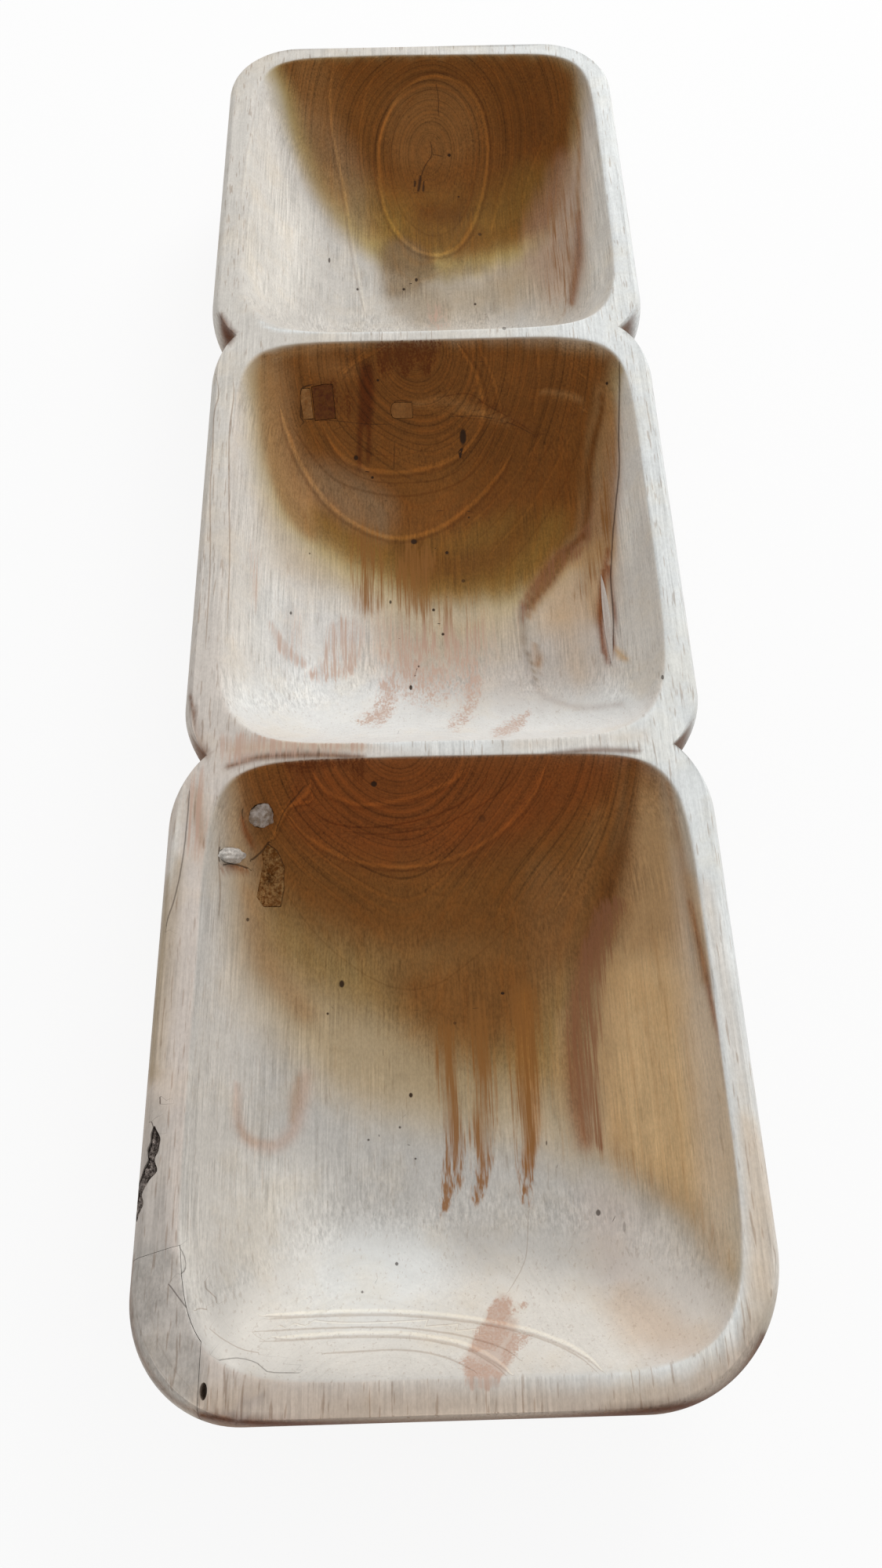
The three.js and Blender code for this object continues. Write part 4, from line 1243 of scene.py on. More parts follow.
@dataclass
class TopPainter:
    """Lays the marks on a set of points and keeps the fields that the shader reads."""

    form: DishForm
    view: PhotoView
    points: np.ndarray
    skin: tuple[float, float] = (-5.0, -3.0)
    bowl_edge: tuple[float, float] = (0.996, 1.008)
    rim_heights: tuple[float, float] = (45.0, 54.0)
    least_share: float = 0.001
    loop_steps: int = 4
    edge_sway: tuple[float, float] = (0.08, 0.1)
    most_sway: float = 14.0
    brush_reach: float = 2.2
    far_off: float = 24.0
    taper: float = 0.12
    ink_end: tuple[float, float] = (13.0, 22.0)
    spot_reach: float = 96.0
    lit_side: tuple[float, float] = (-20.0, 80.0)
    near_part: tuple[float, float] = (-100.0, 200.0)
    warm_side: tuple[float, float] = (-60.0, 90.0)
    brown_from: float = 8.0
    brown_full: float = 6.0
    front_in: tuple[float, float] = (3.4, 1.2)
    front_drop: tuple[float, float] = (0.4, 2.6)
    notch_along: tuple[float, float] = (14.0, 4.0)
    notch_in: tuple[float, float] = (22.0, 12.0)
    notch_drop: tuple[float, float] = (0.6, 4.0)
    cut_across: tuple[float, float] = (0.22, 0.62)
    pixels: np.ndarray = field(init=False)
    share: dict[Zone, np.ndarray] = field(init=False)
    rim: np.ndarray = field(init=False)
    upper: np.ndarray = field(init=False)
    fields: dict[str, np.ndarray] = field(init=False)

    def __post_init__(self) -> None:
        """Works out where each point shows in the photograph and which zones it is in."""
        count = len(self.points)
        self.pixels = self.view.project(self.points)
        x, y, z = self.points.T
        self.upper = ease(z - self.form.top(x, y), *self.skin)
        self.share = {}
        rest = np.ones(count)
        for bowl in self.form.bowls():
            part = self.upper * (1 - ease(bowl.reach(x, y), *self.bowl_edge))
            self.share[bowl.zone] = part
            rest = rest - part
        self.rim = np.clip(rest, 0, 1)
        self.share[Zone.RIM] = self.rim * ease(z, *self.rim_heights)
        self.fields = {"tone": np.ones((count, 3)), "spot": np.full((count, 3), self.far_off)}
        self.fields["spot_ink"] = np.zeros(count)
        for lane in range(LANES):
            self.fields[f"lane{lane}"] = np.full(count, self.far_off)
            self.fields[f"ink{lane}"] = np.zeros((count, 3))
        for kind in Streak:
            self.fields[kind.field()] = np.zeros(count)
        self.fields["rim"] = self.rim

    def near(self, zone: Zone, path: np.ndarray, margin: float) -> np.ndarray:
        """Indices of the zone's points within a margin, in pixels, of a path's box.

        Args:
            zone: the zone.
            path: n by 2 pixels.
            margin: pixels round the box.

        Returns:
            The indices.
        """
        low, high = path.min(0) - margin, path.max(0) + margin
        within = ((self.pixels > low) & (self.pixels < high)).all(1)
        return np.flatnonzero(within & (self.share[zone] > self.least_share))

    def patch(self, zone: Zone, outline: str, soft: float) -> tuple[np.ndarray, np.ndarray]:
        """Points of a patch and how far each is inside: 0 outside its soft edge, 1 within.

        Args:
            zone: the patch's zone.
            outline: its corners as pairs of pixels.
            soft: half the width of its edge in pixels.

        Returns:
            Indices of the points, and their depths.
        """
        loop = spline(pixels_of(outline), True, self.loop_steps)
        rows = self.near(zone, loop, soft)
        x, y, z = self.points[rows].T
        sway = np.sin(x * 0.41 + 0.9 * np.sin(y * 0.05)) + np.sin(x * 0.83 + y * 0.03 + z * 0.2)
        shift = sway[:, None] * self.edge_sway * min(soft, self.most_sway)
        here = self.pixels[rows] + shift
        gap, _, _ = along_path(here, np.vstack([loop, loop[:1]]))
        signed = np.where(inside(here, loop), gap, -gap)
        return rows, np.clip(0.5 + signed / (2 * soft), 0, 1) * self.share[zone][rows]

    def tint(self, rows: np.ndarray | slice, tone: Tone, amount: np.ndarray) -> None:
        """Mixes a tone into the colour of some points."""
        held = self.fields["tone"][rows]
        self.fields["tone"][rows] = held + (linear(tone) - held) * amount[:, None]

    def ground(self) -> None:
        """First coat: pale floors, chalky rims with painted light and shade, an outside browning towards
        the base.
        """
        x, y, z = self.points.T
        form, share, rim = self.form, self.share, self.rim
        left, drop = -x, form.height - z
        low = rim * ease(drop, self.brown_from, form.height - self.brown_full)
        front = ease(-(form.half_length + y), *(-np.array(self.front_in))) * ease(drop, *self.front_drop)
        shade = ease(left, *self.lit_side) * ease(-y, *self.near_part)
        coats = [
            (Tone.PALE, np.ones(len(z))),
            (Tone.ROSE, 0.5 * share[Zone.MIDDLE]),
            (Tone.ASH, 0.8 * share[Zone.NEAR]),
            (Tone.ASH, 0.4 * share[Zone.FAR]),
            # Painted light: the rim whiter towards the right; painted shade: rosier on the near left.
            (Tone.SNOW, 0.95 * rim * ease(x, *self.lit_side)),
            (Tone.ROSE, 0.7 * rim * shade),
            # Painted shade: the outside browner towards the base, more on the left, and darkest on the
            # front foot.
            (Tone.TAN, 0.55 * low),
            (Tone.TAWNY, 0.5 * low * ease(left, *self.warm_side)),
            (Tone.UMBER, 0.85 * rim * front),
        ]
        # Painted shade in the notches between the lobes.
        for divider in (form.far_divider + form.far_notch_shift, form.near_divider):
            close = ease(-np.abs(y - divider), *(-np.array(self.notch_along)))
            side = ease(np.abs(x), *(form.half_width - np.array(self.notch_in)))
            coats.append((Tone.UMBER, 0.85 * close * side * ease(drop, *self.notch_drop)))
        for tone, amount in coats:
            self.tint(slice(None), tone, amount)

    def lay(self) -> dict[str, np.ndarray]:
        """Lays every mark in order.

        Returns:
            The fields by attribute name.
        """
        self.ground()
        for zone, wash in each(WASHES):
            rows, depth = self.patch(zone, wash.outline, wash.soft)
            self.tint(rows, wash.tone, wash.strength * ease(depth, 0, 1))
        for zone, brush in each(BRUSHES):
            self.brush(zone, brush)
        for zone, lines in LINES.items():
            for lane, line in lanes_of(lines):
                self.line(zone, line, lane)
        for zone, stain in each(STAINS):
            rows, depth = self.patch(zone, stain.outline, stain.soft)
            held = self.fields[stain.kind.field()]
            held[rows] = np.maximum(held[rows], depth * stain.strength)
        for _, spot in each(SPOTS):
            self.spot(spot)
        self.fields["growth"] = self.growth()
        self.fields["endgrain"] = self.endgrain()
        return self.fields

    def brush(self, zone: Zone, brush: Brush) -> None:
        """Lays a streak whose half width runs smoothly from start over middle to end.

        Args:
            zone: the streak's zone.
            brush: the streak.
        """
        path = spline(pixels_of(brush.path), False)
        rows = self.near(zone, path, self.brush_reach * max(brush.halves))
        gap, _, where = along_path(self.pixels[rows], path)
        half = np.interp(where, (0, 0.5, 1), brush.halves)
        self.tint(rows, brush.tone, np.exp(-((gap / half) ** 2)) * brush.strength * self.share[zone][rows])

    def line(self, zone: Zone, line: Line, lane: int) -> None:
        """Keeps each point's signed offset from its lane's nearest line, in half widths.

        The offset is linear across the line, so the line stays sharp between the mesh's points.
        The ink dies away from the line, so that no false line shows where two neighbours meet.

        Args:
            zone: the line's zone.
            line: the line.
            lane: number of its lane.
        """
        path = line.curve()
        rows = self.near(zone, path, self.far_off)
        gap, side, where = along_path(self.pixels[rows], path)
        ends = np.minimum(where, 1 - where)
        taper = np.ones(len(rows)) if line.closed else np.clip(ends / self.taper, 0.02, 1) ** 0.5
        offset = np.clip(side * gap / (line.half * taper), -self.far_off, self.far_off)
        held, ink = self.fields[f"lane{lane}"], self.fields[f"ink{lane}"]
        better = np.abs(offset) < np.abs(held[rows])
        kept = rows[better]
        held[kept] = offset[better]
        ink[kept] = 0.0
        ink[kept, line.ink.value] = line.strength * (1 - ease(gap[better], *self.ink_end))

    def spot(self, spot: Spot) -> None:
        """Keeps each point's offset from the nearest speck, in that speck's half sizes.

        Args:
            spot: the speck.
        """
        away = self.pixels - (spot.x, spot.y)
        rows = np.flatnonzero((np.abs(away) < self.spot_reach).all(1) & (self.upper > 0.5))
        offset = away[rows] / (spot.half_x, spot.half_y)
        better = (offset**2).sum(1) < (self.fields["spot"][rows] ** 2).sum(1)
        self.fields["spot"][rows[better], :2] = np.clip(offset[better], -self.far_off, self.far_off)
        self.fields["spot"][rows[better], 2] = 0.0
        self.fields["spot_ink"][rows[better]] = spot.strength

    def endgrain(self) -> np.ndarray:
        """How squarely the top's surface cuts across the log, from 0 to 1.

        Returns:
            One share for each point.
        """
        across, along = self.form.slopes(self.points[:, 0], self.points[:, 1])
        facing = np.abs(along) / np.sqrt(1 + across**2 + along**2)
        return ease(facing, *self.cut_across) * self.upper

    def growth(self) -> np.ndarray:
        """Distance from the log's pith, which climbs from low at the far end to above the near rim.

        Returns:
            Millimetres, with a slow wander.
        """
        x, y, z = self.points.T
        stations = (-300, -190, -100, 70, 180, 262, 300)
        pith_z = np.interp(y, stations, (76, 71, 66, 60, 42, 28, 22))
        pith_x = np.interp(y, stations, (-24, -18, -14, -8, -2, 4, 6))
        wander = 1.6 * np.sin(0.045 * y + 0.06 * x) + 1.1 * np.sin(0.11 * x - 0.07 * y + 0.09 * z)
        return np.hypot(x - pith_x, z - pith_z) + wander


def store(data: bpy.types.Mesh, fields: dict[str, np.ndarray]) -> None:
    """Writes the painter's fields to a mesh as point attributes.

    Args:
        data: the mesh, with as many vertices as the fields have rows.
        fields: arrays of one value or three a vertex, the colour named tone.
    """
    for name, values in fields.items():
        if name == "tone":
            made = data.attributes.new(name, "FLOAT_COLOR", "POINT")
            full = np.hstack([values, np.ones((len(values), 1))])
            made.data.foreach_set("color", full.astype(np.float32).ravel())
        elif values.ndim == 2:
            made = data.attributes.new(name, "FLOAT_VECTOR", "POINT")
            made.data.foreach_set("vector", values.astype(np.float32).ravel())
        else:
            made = data.attributes.new(name, "FLOAT", "POINT")
            made.data.foreach_set("value", values.astype(np.float32))


# Shader building


@dataclass
class Board:
    """Short calls for wiring one node tree."""

    tree: bpy.types.NodeTree

    def put(self, socket: Socket, value: object) -> None:
        """Links a socket to an input, or sets the input's own value.

        Args:
            socket: the input.
            value: a socket, or a constant.
        """
        if isinstance(value, bpy.types.NodeSocket):
            self.tree.links.new(value, socket)
        else:
            socket.default_value = value

    def node(self, kind: str, inputs: dict | None = None, **settings: object) -> bpy.types.Node:
        """New node with its settings and inputs.

        Args:
            kind: the node's type name.
            inputs: values or sockets by input name or number.
            **settings: the node's own properties.

        Returns:
            The node.
        """
        made = self.tree.nodes.new(kind)
        for key, value in settings.items():
            setattr(made, key, value)
        for key, value in (inputs or {}).items():
            self.put(made.inputs[key], value)
        return made

    def group(self, tree: bpy.types.NodeTree, inputs: dict) -> bpy.types.NodeOutputs:
        """Outputs of a shared node group with its inputs wired."""
        return self.node("ShaderNodeGroup", inputs, node_tree=tree).outputs

    def math(self, how: str, a: object, b: object = 0.0) -> Socket:
        """Result of a Math node."""
        return self.node("ShaderNodeMath", {0: a, 1: b}, operation=how).outputs[0]

    def times(self, a: object, b: object) -> Socket:
        """Product of two values."""
        return self.math("MULTIPLY", a, b)

    def plus(self, first: object, *others: object) -> Socket:
        """Sum of several values.

        Args:
            first: one value.
            *others: the rest.

        Returns:
            The sum.
        """
        for other in others:
            first = self.math("ADD", first, other)
        return first

    def sway(self, value: object, depth: float) -> Socket:
        """A noise's value as a swing about nothing, as deep as stated."""
        return self.times(self.math("SUBTRACT", value, 0.5), depth)

    def scaled(self, vector: object, factor: object) -> Socket:
        """A vector times a value."""
        return self.node("ShaderNodeVectorMath", {0: vector, "Scale": factor}, operation="SCALE").outputs[0]

    def highest(self, a: object, b: object) -> Socket:
        """The larger of two vectors, axis by axis."""
        return self.node("ShaderNodeVectorMath", {0: a, 1: b}, operation="MAXIMUM").outputs[0]

    def ramp(
        self, value: object, low: object, high: float, to_low: float = 0.0, to_high: float = 1.0
    ) -> Socket:
        """Smooth step of a value between two levels."""
        inputs = {"Value": value, "From Min": low, "From Max": high, "To Min": to_low, "To Max": to_high}
        return self.node("ShaderNodeMapRange", inputs, interpolation_type="SMOOTHSTEP").outputs["Result"]

    def mix(self, share: object, a: object, b: object, how: str = "MIX") -> Socket:
        """Mix of two colours.

        Args:
            share: how much of the second shows.
            a: the first colour.
            b: the second colour.
            how: the blend type.

        Returns:
            The mixed colour.
        """
        made = self.node("ShaderNodeMix", data_type="RGBA", blend_type=how)
        self.put(made.inputs["Factor"], share)
        self.put(made.inputs[6], a)
        self.put(made.inputs[7], b)
        return made.outputs[2]

    def shaded(self, colour: object, by: object) -> Socket:
        """A colour multiplied by another."""
        return self.mix(1.0, colour, by, "MULTIPLY")

    def grey(self, level: object) -> Socket:
        """A level as a grey."""
        return self.node("ShaderNodeCombineColor", {0: level, 1: level, 2: level}).outputs[0]

    def noise(self, where: object, scale: float, detail: float = 2.0, rough: float = 0.5) -> Socket:
        """Value of a noise texture."""
        inputs = {"Vector": where, "Scale": scale, "Detail": detail, "Roughness": rough}
        return self.node("ShaderNodeTexNoise", inputs).outputs[0]

    def rings(self, growth: object, scale: float, detail: float) -> Socket:
        """Noise along the distance from the pith."""
        inputs = {"W": growth, "Scale": scale, "Detail": detail}
        return self.node("ShaderNodeTexNoise", inputs, noise_dimensions="1D").outputs[0]

    def stretch(self, where: object, scale: tuple[float, float, float]) -> Socket:
        """Coordinates scaled along each axis."""
        return self.node("ShaderNodeMapping", {"Vector": where, "Scale": scale}).outputs[0]

    def attribute(self, name: str, output: str = "Fac") -> Socket:
        """Output of a mesh attribute."""
        return self.node("ShaderNodeAttribute", attribute_name=name).outputs[output]

    def surface(self, look: dict, height: object, strength: float, distance: float) -> None:
        """Ends a material: a Principled surface with fine relief.

        Args:
            look: the surface's inputs by name.
            height: value of the relief.
            strength: how much of the relief shows.
            distance: depth of the relief in metres.
        """
        bump = self.node("ShaderNodeBump", {"Strength": strength, "Distance": distance, "Height": height})
        shader = self.node("ShaderNodeBsdfPrincipled", {**look, "Normal": bump.outputs[0]})
        self.node("ShaderNodeOutputMaterial", {"Surface": shader.outputs[0]})


def emptied(owner: bpy.types.Material | bpy.types.World) -> bpy.types.NodeTree:
    """Node tree of a material or the world, without its first nodes.

    Args:
        owner: the material or world.

    Returns:
        Its empty tree.
    """
    owner.use_nodes = True
    owner.node_tree.nodes.clear()
    return owner.node_tree


def new_group(name: str, inputs: dict[str, str], outputs: dict[str, str]) -> tuple[Board, dict, dict]:
    """Empty shader node group with named sockets.

    Args:
        name: the group's name.
        inputs: socket types by input name.
        outputs: socket types by output name.

    Returns:
        Its board, the input sockets and the output sockets by name.
    """
    tree = bpy.data.node_groups.new(name, "ShaderNodeTree")
    for key, kind in inputs.items():
        tree.interface.new_socket(key, in_out="INPUT", socket_type=kind)
    for key, kind in outputs.items():
        tree.interface.new_socket(key, in_out="OUTPUT", socket_type=kind)
    start = tree.nodes.new("NodeGroupInput")
    end = tree.nodes.new("NodeGroupOutput")
    return Board(tree), {k: start.outputs[k] for k in inputs}, {k: end.inputs[k] for k in outputs}


VALUE, VECTOR = "NodeSocketFloat", "NodeSocketVector"


@dataclass(frozen=True)
class Fibre:
    """Noise drawn out along the log: its stretch on each axis, its fineness, and levels that sharpen it."""

    drawn: tuple[float, float, float]
    scale: float
    detail: float
    rough: float
    levels: tuple[float, float] | None = None


FIBRES = {
    "Fine": Fibre((1.0, 0.03, 1.0), 800.0, 3.0, 0.65),
    "Strand": Fibre((1.0, 0.04, 1.0), 460.0, 3.0, 0.6),
    "Broad": Fibre((1.0, 0.05, 1.0), 150.0, 3.0, 0.55),
    "Pore": Fibre((1.0, 0.09, 1.0), 1100.0, 1.0, 0.5, (0.62, 0.72)),
    "Hair": Fibre((1.0, 0.03, 1.0), 1300.0, 2.0, 0.6, (0.34, 0.66)),
    "Speck": Fibre((1.0, 0.45, 1.0), 1500.0, 2.0, 0.6, (0.34, 0.66)),
    "Drip": Fibre((1.0, 0.04, 0.05), 700.0, 3.0, 0.6),
}


def fibre_group() -> bpy.types.NodeTree:
    """Fibres along the log, one value for each kind.

    Returns:
        The group's tree.
    """
    inputs = {"Vector": VECTOR, "Fineness": VALUE}
    board, given, out = new_group("Fibres", inputs, dict.fromkeys(FIBRES, VALUE))
    where = board.scaled(given["Vector"], given["Fineness"])
    for name, kind in FIBRES.items():
        value = board.noise(board.stretch(where, kind.drawn), kind.scale, kind.detail, kind.rough)
        board.put(out[name], board.ramp(value, *kind.levels) if kind.levels else value)
    return board.tree


def line_group() -> bpy.types.NodeTree:
    """Masks of the three inks from a lane's signed offset in half widths, with an uneven edge.

    A pale ring also gets a dark edge on one side, kept with the grain's mask.

    Returns:
        The group's tree.
    """
    inputs = {"Offset": VALUE, "Ink": VECTOR, "Unevenness": VALUE, "Edge": VALUE}
    board, given, out = new_group("Drawn line", inputs, {"Masks": VECTOR})
    shifted = board.plus(given["Offset"], given["Unevenness"])
    mask = board.ramp(board.math("ABSOLUTE", shifted), given["Edge"], 1.25, 1.0, 0.0)
    beside = board.ramp(board.math("ABSOLUTE", board.math("SUBTRACT", shifted, 1.7)), 1.0, 0.1)
    ring = board.node("ShaderNodeSeparateXYZ", {0: given["Ink"]}).outputs[1]
    edge = board.node("ShaderNodeCombineXYZ", {2: board.times(board.times(beside, ring), 0.5)}).outputs[0]
    board.put(out["Masks"], board.highest(board.scaled(given["Ink"], mask), edge))
    return board.tree


def ragged_group() -> bpy.types.NodeTree:
    """Mask of a stain that breaks into strands along the fibres, more so towards its edge.

    Returns:
        The group's tree.
    """
    inputs = {"Depth": VALUE, "Strand": VALUE, "Fine": VALUE}
    board, given, out = new_group("Ragged stain", inputs, {"Mask": VALUE})
    frayed = board.plus(board.sway(given["Strand"], 2.6), board.sway(given["Fine"], 0.7))
    body = board.plus(board.times(given["Depth"], 1.3), frayed)
    mask = board.times(board.ramp(body, 0.2, 1.3), board.ramp(given["Fine"], 0.0, 1.0, 0.55, 1.0))
    board.put(out["Mask"], board.times(mask, board.ramp(given["Depth"], 0.02, 0.5)))
    return board.tree


@dataclass
class Effects:
    """The shared node groups."""

    fibres: bpy.types.NodeTree = field(default_factory=fibre_group)
    line: bpy.types.NodeTree = field(default_factory=line_group)
    ragged: bpy.types.NodeTree = field(default_factory=ragged_group)


WARMER = (1.07, 0.95, 0.8, 1.0)
AGED = (0.97, 0.93, 0.87, 1.0)
DEEPER = (0.55, 0.45, 0.38, 1.0)
LIT = (1.55, 1.5, 1.35, 1.0)
PITCH = (0.03, 0.015, 0.008, 1.0)


@dataclass(frozen=True)
class WoodFinish:
    """Painted wood: how strongly its fibres, rings and pores show, and its gloss."""

    name: str
    fibre_depth: float = 0.28
    strand_depth: float = 0.14
    broad_depth: float = 0.13
    ring_depth: float = 0.72
    hair_depth: float = 0.17
    speck_depth: float = 0.24
    mottle_depth: float = 0.4
    roughness: float = 0.6
    specular: float = 0.08
    relief: float = 0.35
    relief_distance: float = 0.0006
    brown_levels: tuple[float, float] = (0.42, 0.12)
    ring_scale: float = 0.55
    thin_ring_scale: float = 1.3
    mottle_scale: float = 85.0
    uneven_scale: float = 240.0
    patch_scale: float = 55.0
    ageing_scale: float = 42.0
    grain_ink: float = 0.8
    crack_ink: float = 0.85
    spot_ink: float = 0.95
    crack_sink: float = 1.2
    spot_sink: float = 1.5
    ring_rise: float = 0.25

    def make(self, effects: Effects) -> bpy.types.Material:
        """Material that reads the painter's attributes.

        Args:
            effects: the shared node groups.

        Returns:
            The material.
        """
        material = bpy.data.materials.new(self.name)
        WoodBoard(emptied(material), self, effects).wire()
        return material


@dataclass
class WoodBoard(Board):
    """Board of one painted wood: the sockets that its steps share, by name, and the steps."""

    finish: WoodFinish
    effects: Effects
    at: dict[str, Socket] = field(default_factory=dict)

    def wire(self) -> None:
        """Wires the material from the painter's tone to its surface."""
        finish, at = self.finish, self.at
        self.share()
        level = self.plus(1.0, self.ring_sway(), self.fibre_sway())
        colour = self.aged(self.shaded(at["tone"], self.grey(level)))
        masks = self.masks()
        colour = self.inked(self.stained(colour), masks)
        spot = self.spot_mask()
        cracks, rings = masks[Ink.CRACK], masks[Ink.RING]
        sunk = self.plus(self.times(cracks, finish.crack_sink), self.times(spot, finish.spot_sink))
        height = self.plus(self.times(at["Fine"], 0.5), self.times(at["Strand"], 0.5))
        height = self.plus(self.math("SUBTRACT", height, sunk), self.times(rings, finish.ring_rise))
        look = {
            "Base Color": self.mix(self.times(spot, finish.spot_ink), colour, PITCH),
            "Roughness": self.ramp(at["Fine"], 0.25, 0.75, finish.roughness - 0.07, finish.roughness + 0.1),
            "Specular IOR Level": finish.specular,
        }
        self.surface(look, height, finish.relief, finish.relief_distance)

    def share(self) -> None:
        """Makes the fibres, the painter's attributes and what follows from them."""
        at, finish = self.at, self.finish
        where = self.node("ShaderNodeTexCoord").outputs["Object"]
        at.update(self.group(self.effects.fibres, {"Vector": where, "Fineness": 1.0}).items())
        at["where"] = where
        at["tone"] = self.attribute("tone", "Color")
        at["rim"] = self.attribute("rim")
        at["endgrain"] = self.attribute("endgrain")
        level = self.node("ShaderNodeRGBToBW", {0: at["tone"]}).outputs[0]
        at["brown"] = self.ramp(level, *finish.brown_levels)
        growth = self.attribute("growth")
        at["rings"] = self.rings(growth, finish.ring_scale, 5.0)
        at["thin rings"] = self.rings(growth, finish.thin_ring_scale, 1.0)
        at["mottle"] = self.noise(where, finish.mottle_scale, 7.0, 0.68)
        at["uneven"] = self.sway(self.noise(where, finish.uneven_scale, 3.0), 0.9)

    def ring_sway(self) -> Socket:
        """Swing of the growth rings, strongest where brown wood is cut across.

        Returns:
            A value about nothing.
        """
        at, depth = self.at, self.finish.ring_depth
        thin = self.times(self.ramp(at["thin rings"], 0.54, 0.66), -0.3 * depth)
        swing = self.plus(self.sway(at["rings"], depth), thin)
        cut = self.ramp(at["endgrain"], 0.0, 1.0, 0.15, 1.0)
        return self.times(swing, self.times(cut, self.ramp(at["brown"], 0.0, 1.0, 0.1, 1.0)))

    def fibre_sway(self) -> Socket:
        """Swing of the fibres and the mottle, calmer on pale wood that is cut across.

        Returns:
            A value about nothing.
        """
        at, finish = self.at, self.finish
        fibrous = self.plus(
            self.sway(at["Fine"], finish.fibre_depth),
            self.sway(at["Strand"], finish.strand_depth),
            self.sway(at["Hair"], finish.hair_depth),
        )
        patches = self.ramp(self.noise(at["where"], finish.patch_scale, 3.0), 0.34, 0.66, 0.25, 1.6)
        specks = self.sway(at["Speck"], finish.speck_depth)
        grainy = self.plus(specks, self.sway(at["mottle"], finish.mottle_depth))
        grainy = self.times(grainy, self.ramp(at["brown"], 0.0, 0.7, 0.45, 1.0))
        broad = self.sway(at["Broad"], finish.broad_depth)
        swing = self.plus(self.times(fibrous, patches), broad, grainy)
        swing = self.times(swing, self.ramp(at["rim"], 0.0, 1.0, 1.0, 0.85))
        sawn = self.times(at["endgrain"], self.ramp(at["brown"], 0.5, 0.0))
        swing = self.times(swing, self.ramp(sawn, 0.0, 0.6, 1.0, 0.25))
        return self.plus(swing, self.sway(at["mottle"], 0.5 * finish.mottle_depth))

    def aged(self, colour: Socket) -> Socket:
        """Colour with warm bands in brown wood, yellowed patches and dark pores.

        Args:
            colour: the grained wood.

        Returns:
            The aged wood.
        """
        at = self.at
        warmth = self.times(self.ramp(self.plus(at["Broad"], at["rings"]), 0.9, 1.25), 0.5)
        warmth = self.times(warmth, self.ramp(at["brown"], 0.15, 0.8))
        colour = self.mix(warmth, colour, self.shaded(colour, WARMER))
        ageing = self.noise(at["where"], self.finish.ageing_scale, 5.0, 0.62)
        ageing = self.ramp(ageing, 0.46, 0.68, 0.0, 0.7)
        colour = self.mix(ageing, colour, self.shaded(colour, AGED))
        pores = self.times(at["Pore"], self.ramp(at["rim"], 0.0, 1.0, 0.26, 0.55))
        return self.mix(pores, colour, self.shaded(colour, DEEPER))

    def masks(self) -> dict[Ink, Socket]:
        """Mask of each ink: the strongest of the lanes.

        Returns:
            Values from 0 to 1.
        """
        drawn = None
        for lane in range(LANES):
            offset, ink = self.attribute(f"lane{lane}"), self.attribute(f"ink{lane}", "Vector")
            inputs = {"Offset": offset, "Ink": ink, "Unevenness": self.at["uneven"], "Edge": 0.1}
            held = self.group(self.effects.line, inputs)["Masks"]
            drawn = held if drawn is None else self.highest(drawn, held)
        parts = self.node("ShaderNodeSeparateXYZ", {0: drawn}).outputs
        return {ink: parts[ink.value] for ink in Ink}

    def stained(self, colour: Socket) -> Socket:
        """Colour under the ragged stains; soot runs down the wall, the others along the fibres.

        Args:
            colour: the clean wood.

        Returns:
            The stained wood.
        """
        for kind in Streak:
            tone, most = kind.value
            strand = self.at["Drip" if kind is Streak.SOOT else "Strand"]
            inputs = {"Depth": self.attribute(kind.field()), "Strand": strand, "Fine": self.at["Hair"]}
            mask = self.group(self.effects.ragged, inputs)["Mask"]
            colour = self.mix(self.times(mask, most), colour, rgba(tone))
        return colour

    def inked(self, colour: Socket, masks: dict[Ink, Socket]) -> Socket:
        """Colour under the drawn lines: pale rings, then dark grain, then cracks.

        Args:
            colour: the stained wood.
            masks: mask of each ink.

        Returns:
            The wood with its lines.
        """
        pale = self.times(masks[Ink.RING], self.ramp(self.at["brown"], 0.0, 0.7, 0.34, 0.85))
        colour = self.mix(pale, colour, self.shaded(colour, LIT))
        dark = self.times(masks[Ink.GRAIN], self.finish.grain_ink)
        colour = self.mix(dark, colour, self.shaded(colour, DEEPER))
        return self.mix(self.times(masks[Ink.CRACK], self.finish.crack_ink), colour, PITCH)

    def spot_mask(self) -> Socket:
        """Mask of the specks, with an uneven edge.

        Returns:
            A value from 0 to 1.
        """
        spot = self.attribute("spot", "Vector")
        offset = self.node("ShaderNodeVectorMath", {0: spot}, operation="LENGTH").outputs["Value"]
        away = self.plus(offset, self.times(self.at["uneven"], 0.3))
        return self.times(self.ramp(away, 1.2, 0.7), self.attribute("spot_ink"))


# The carved body


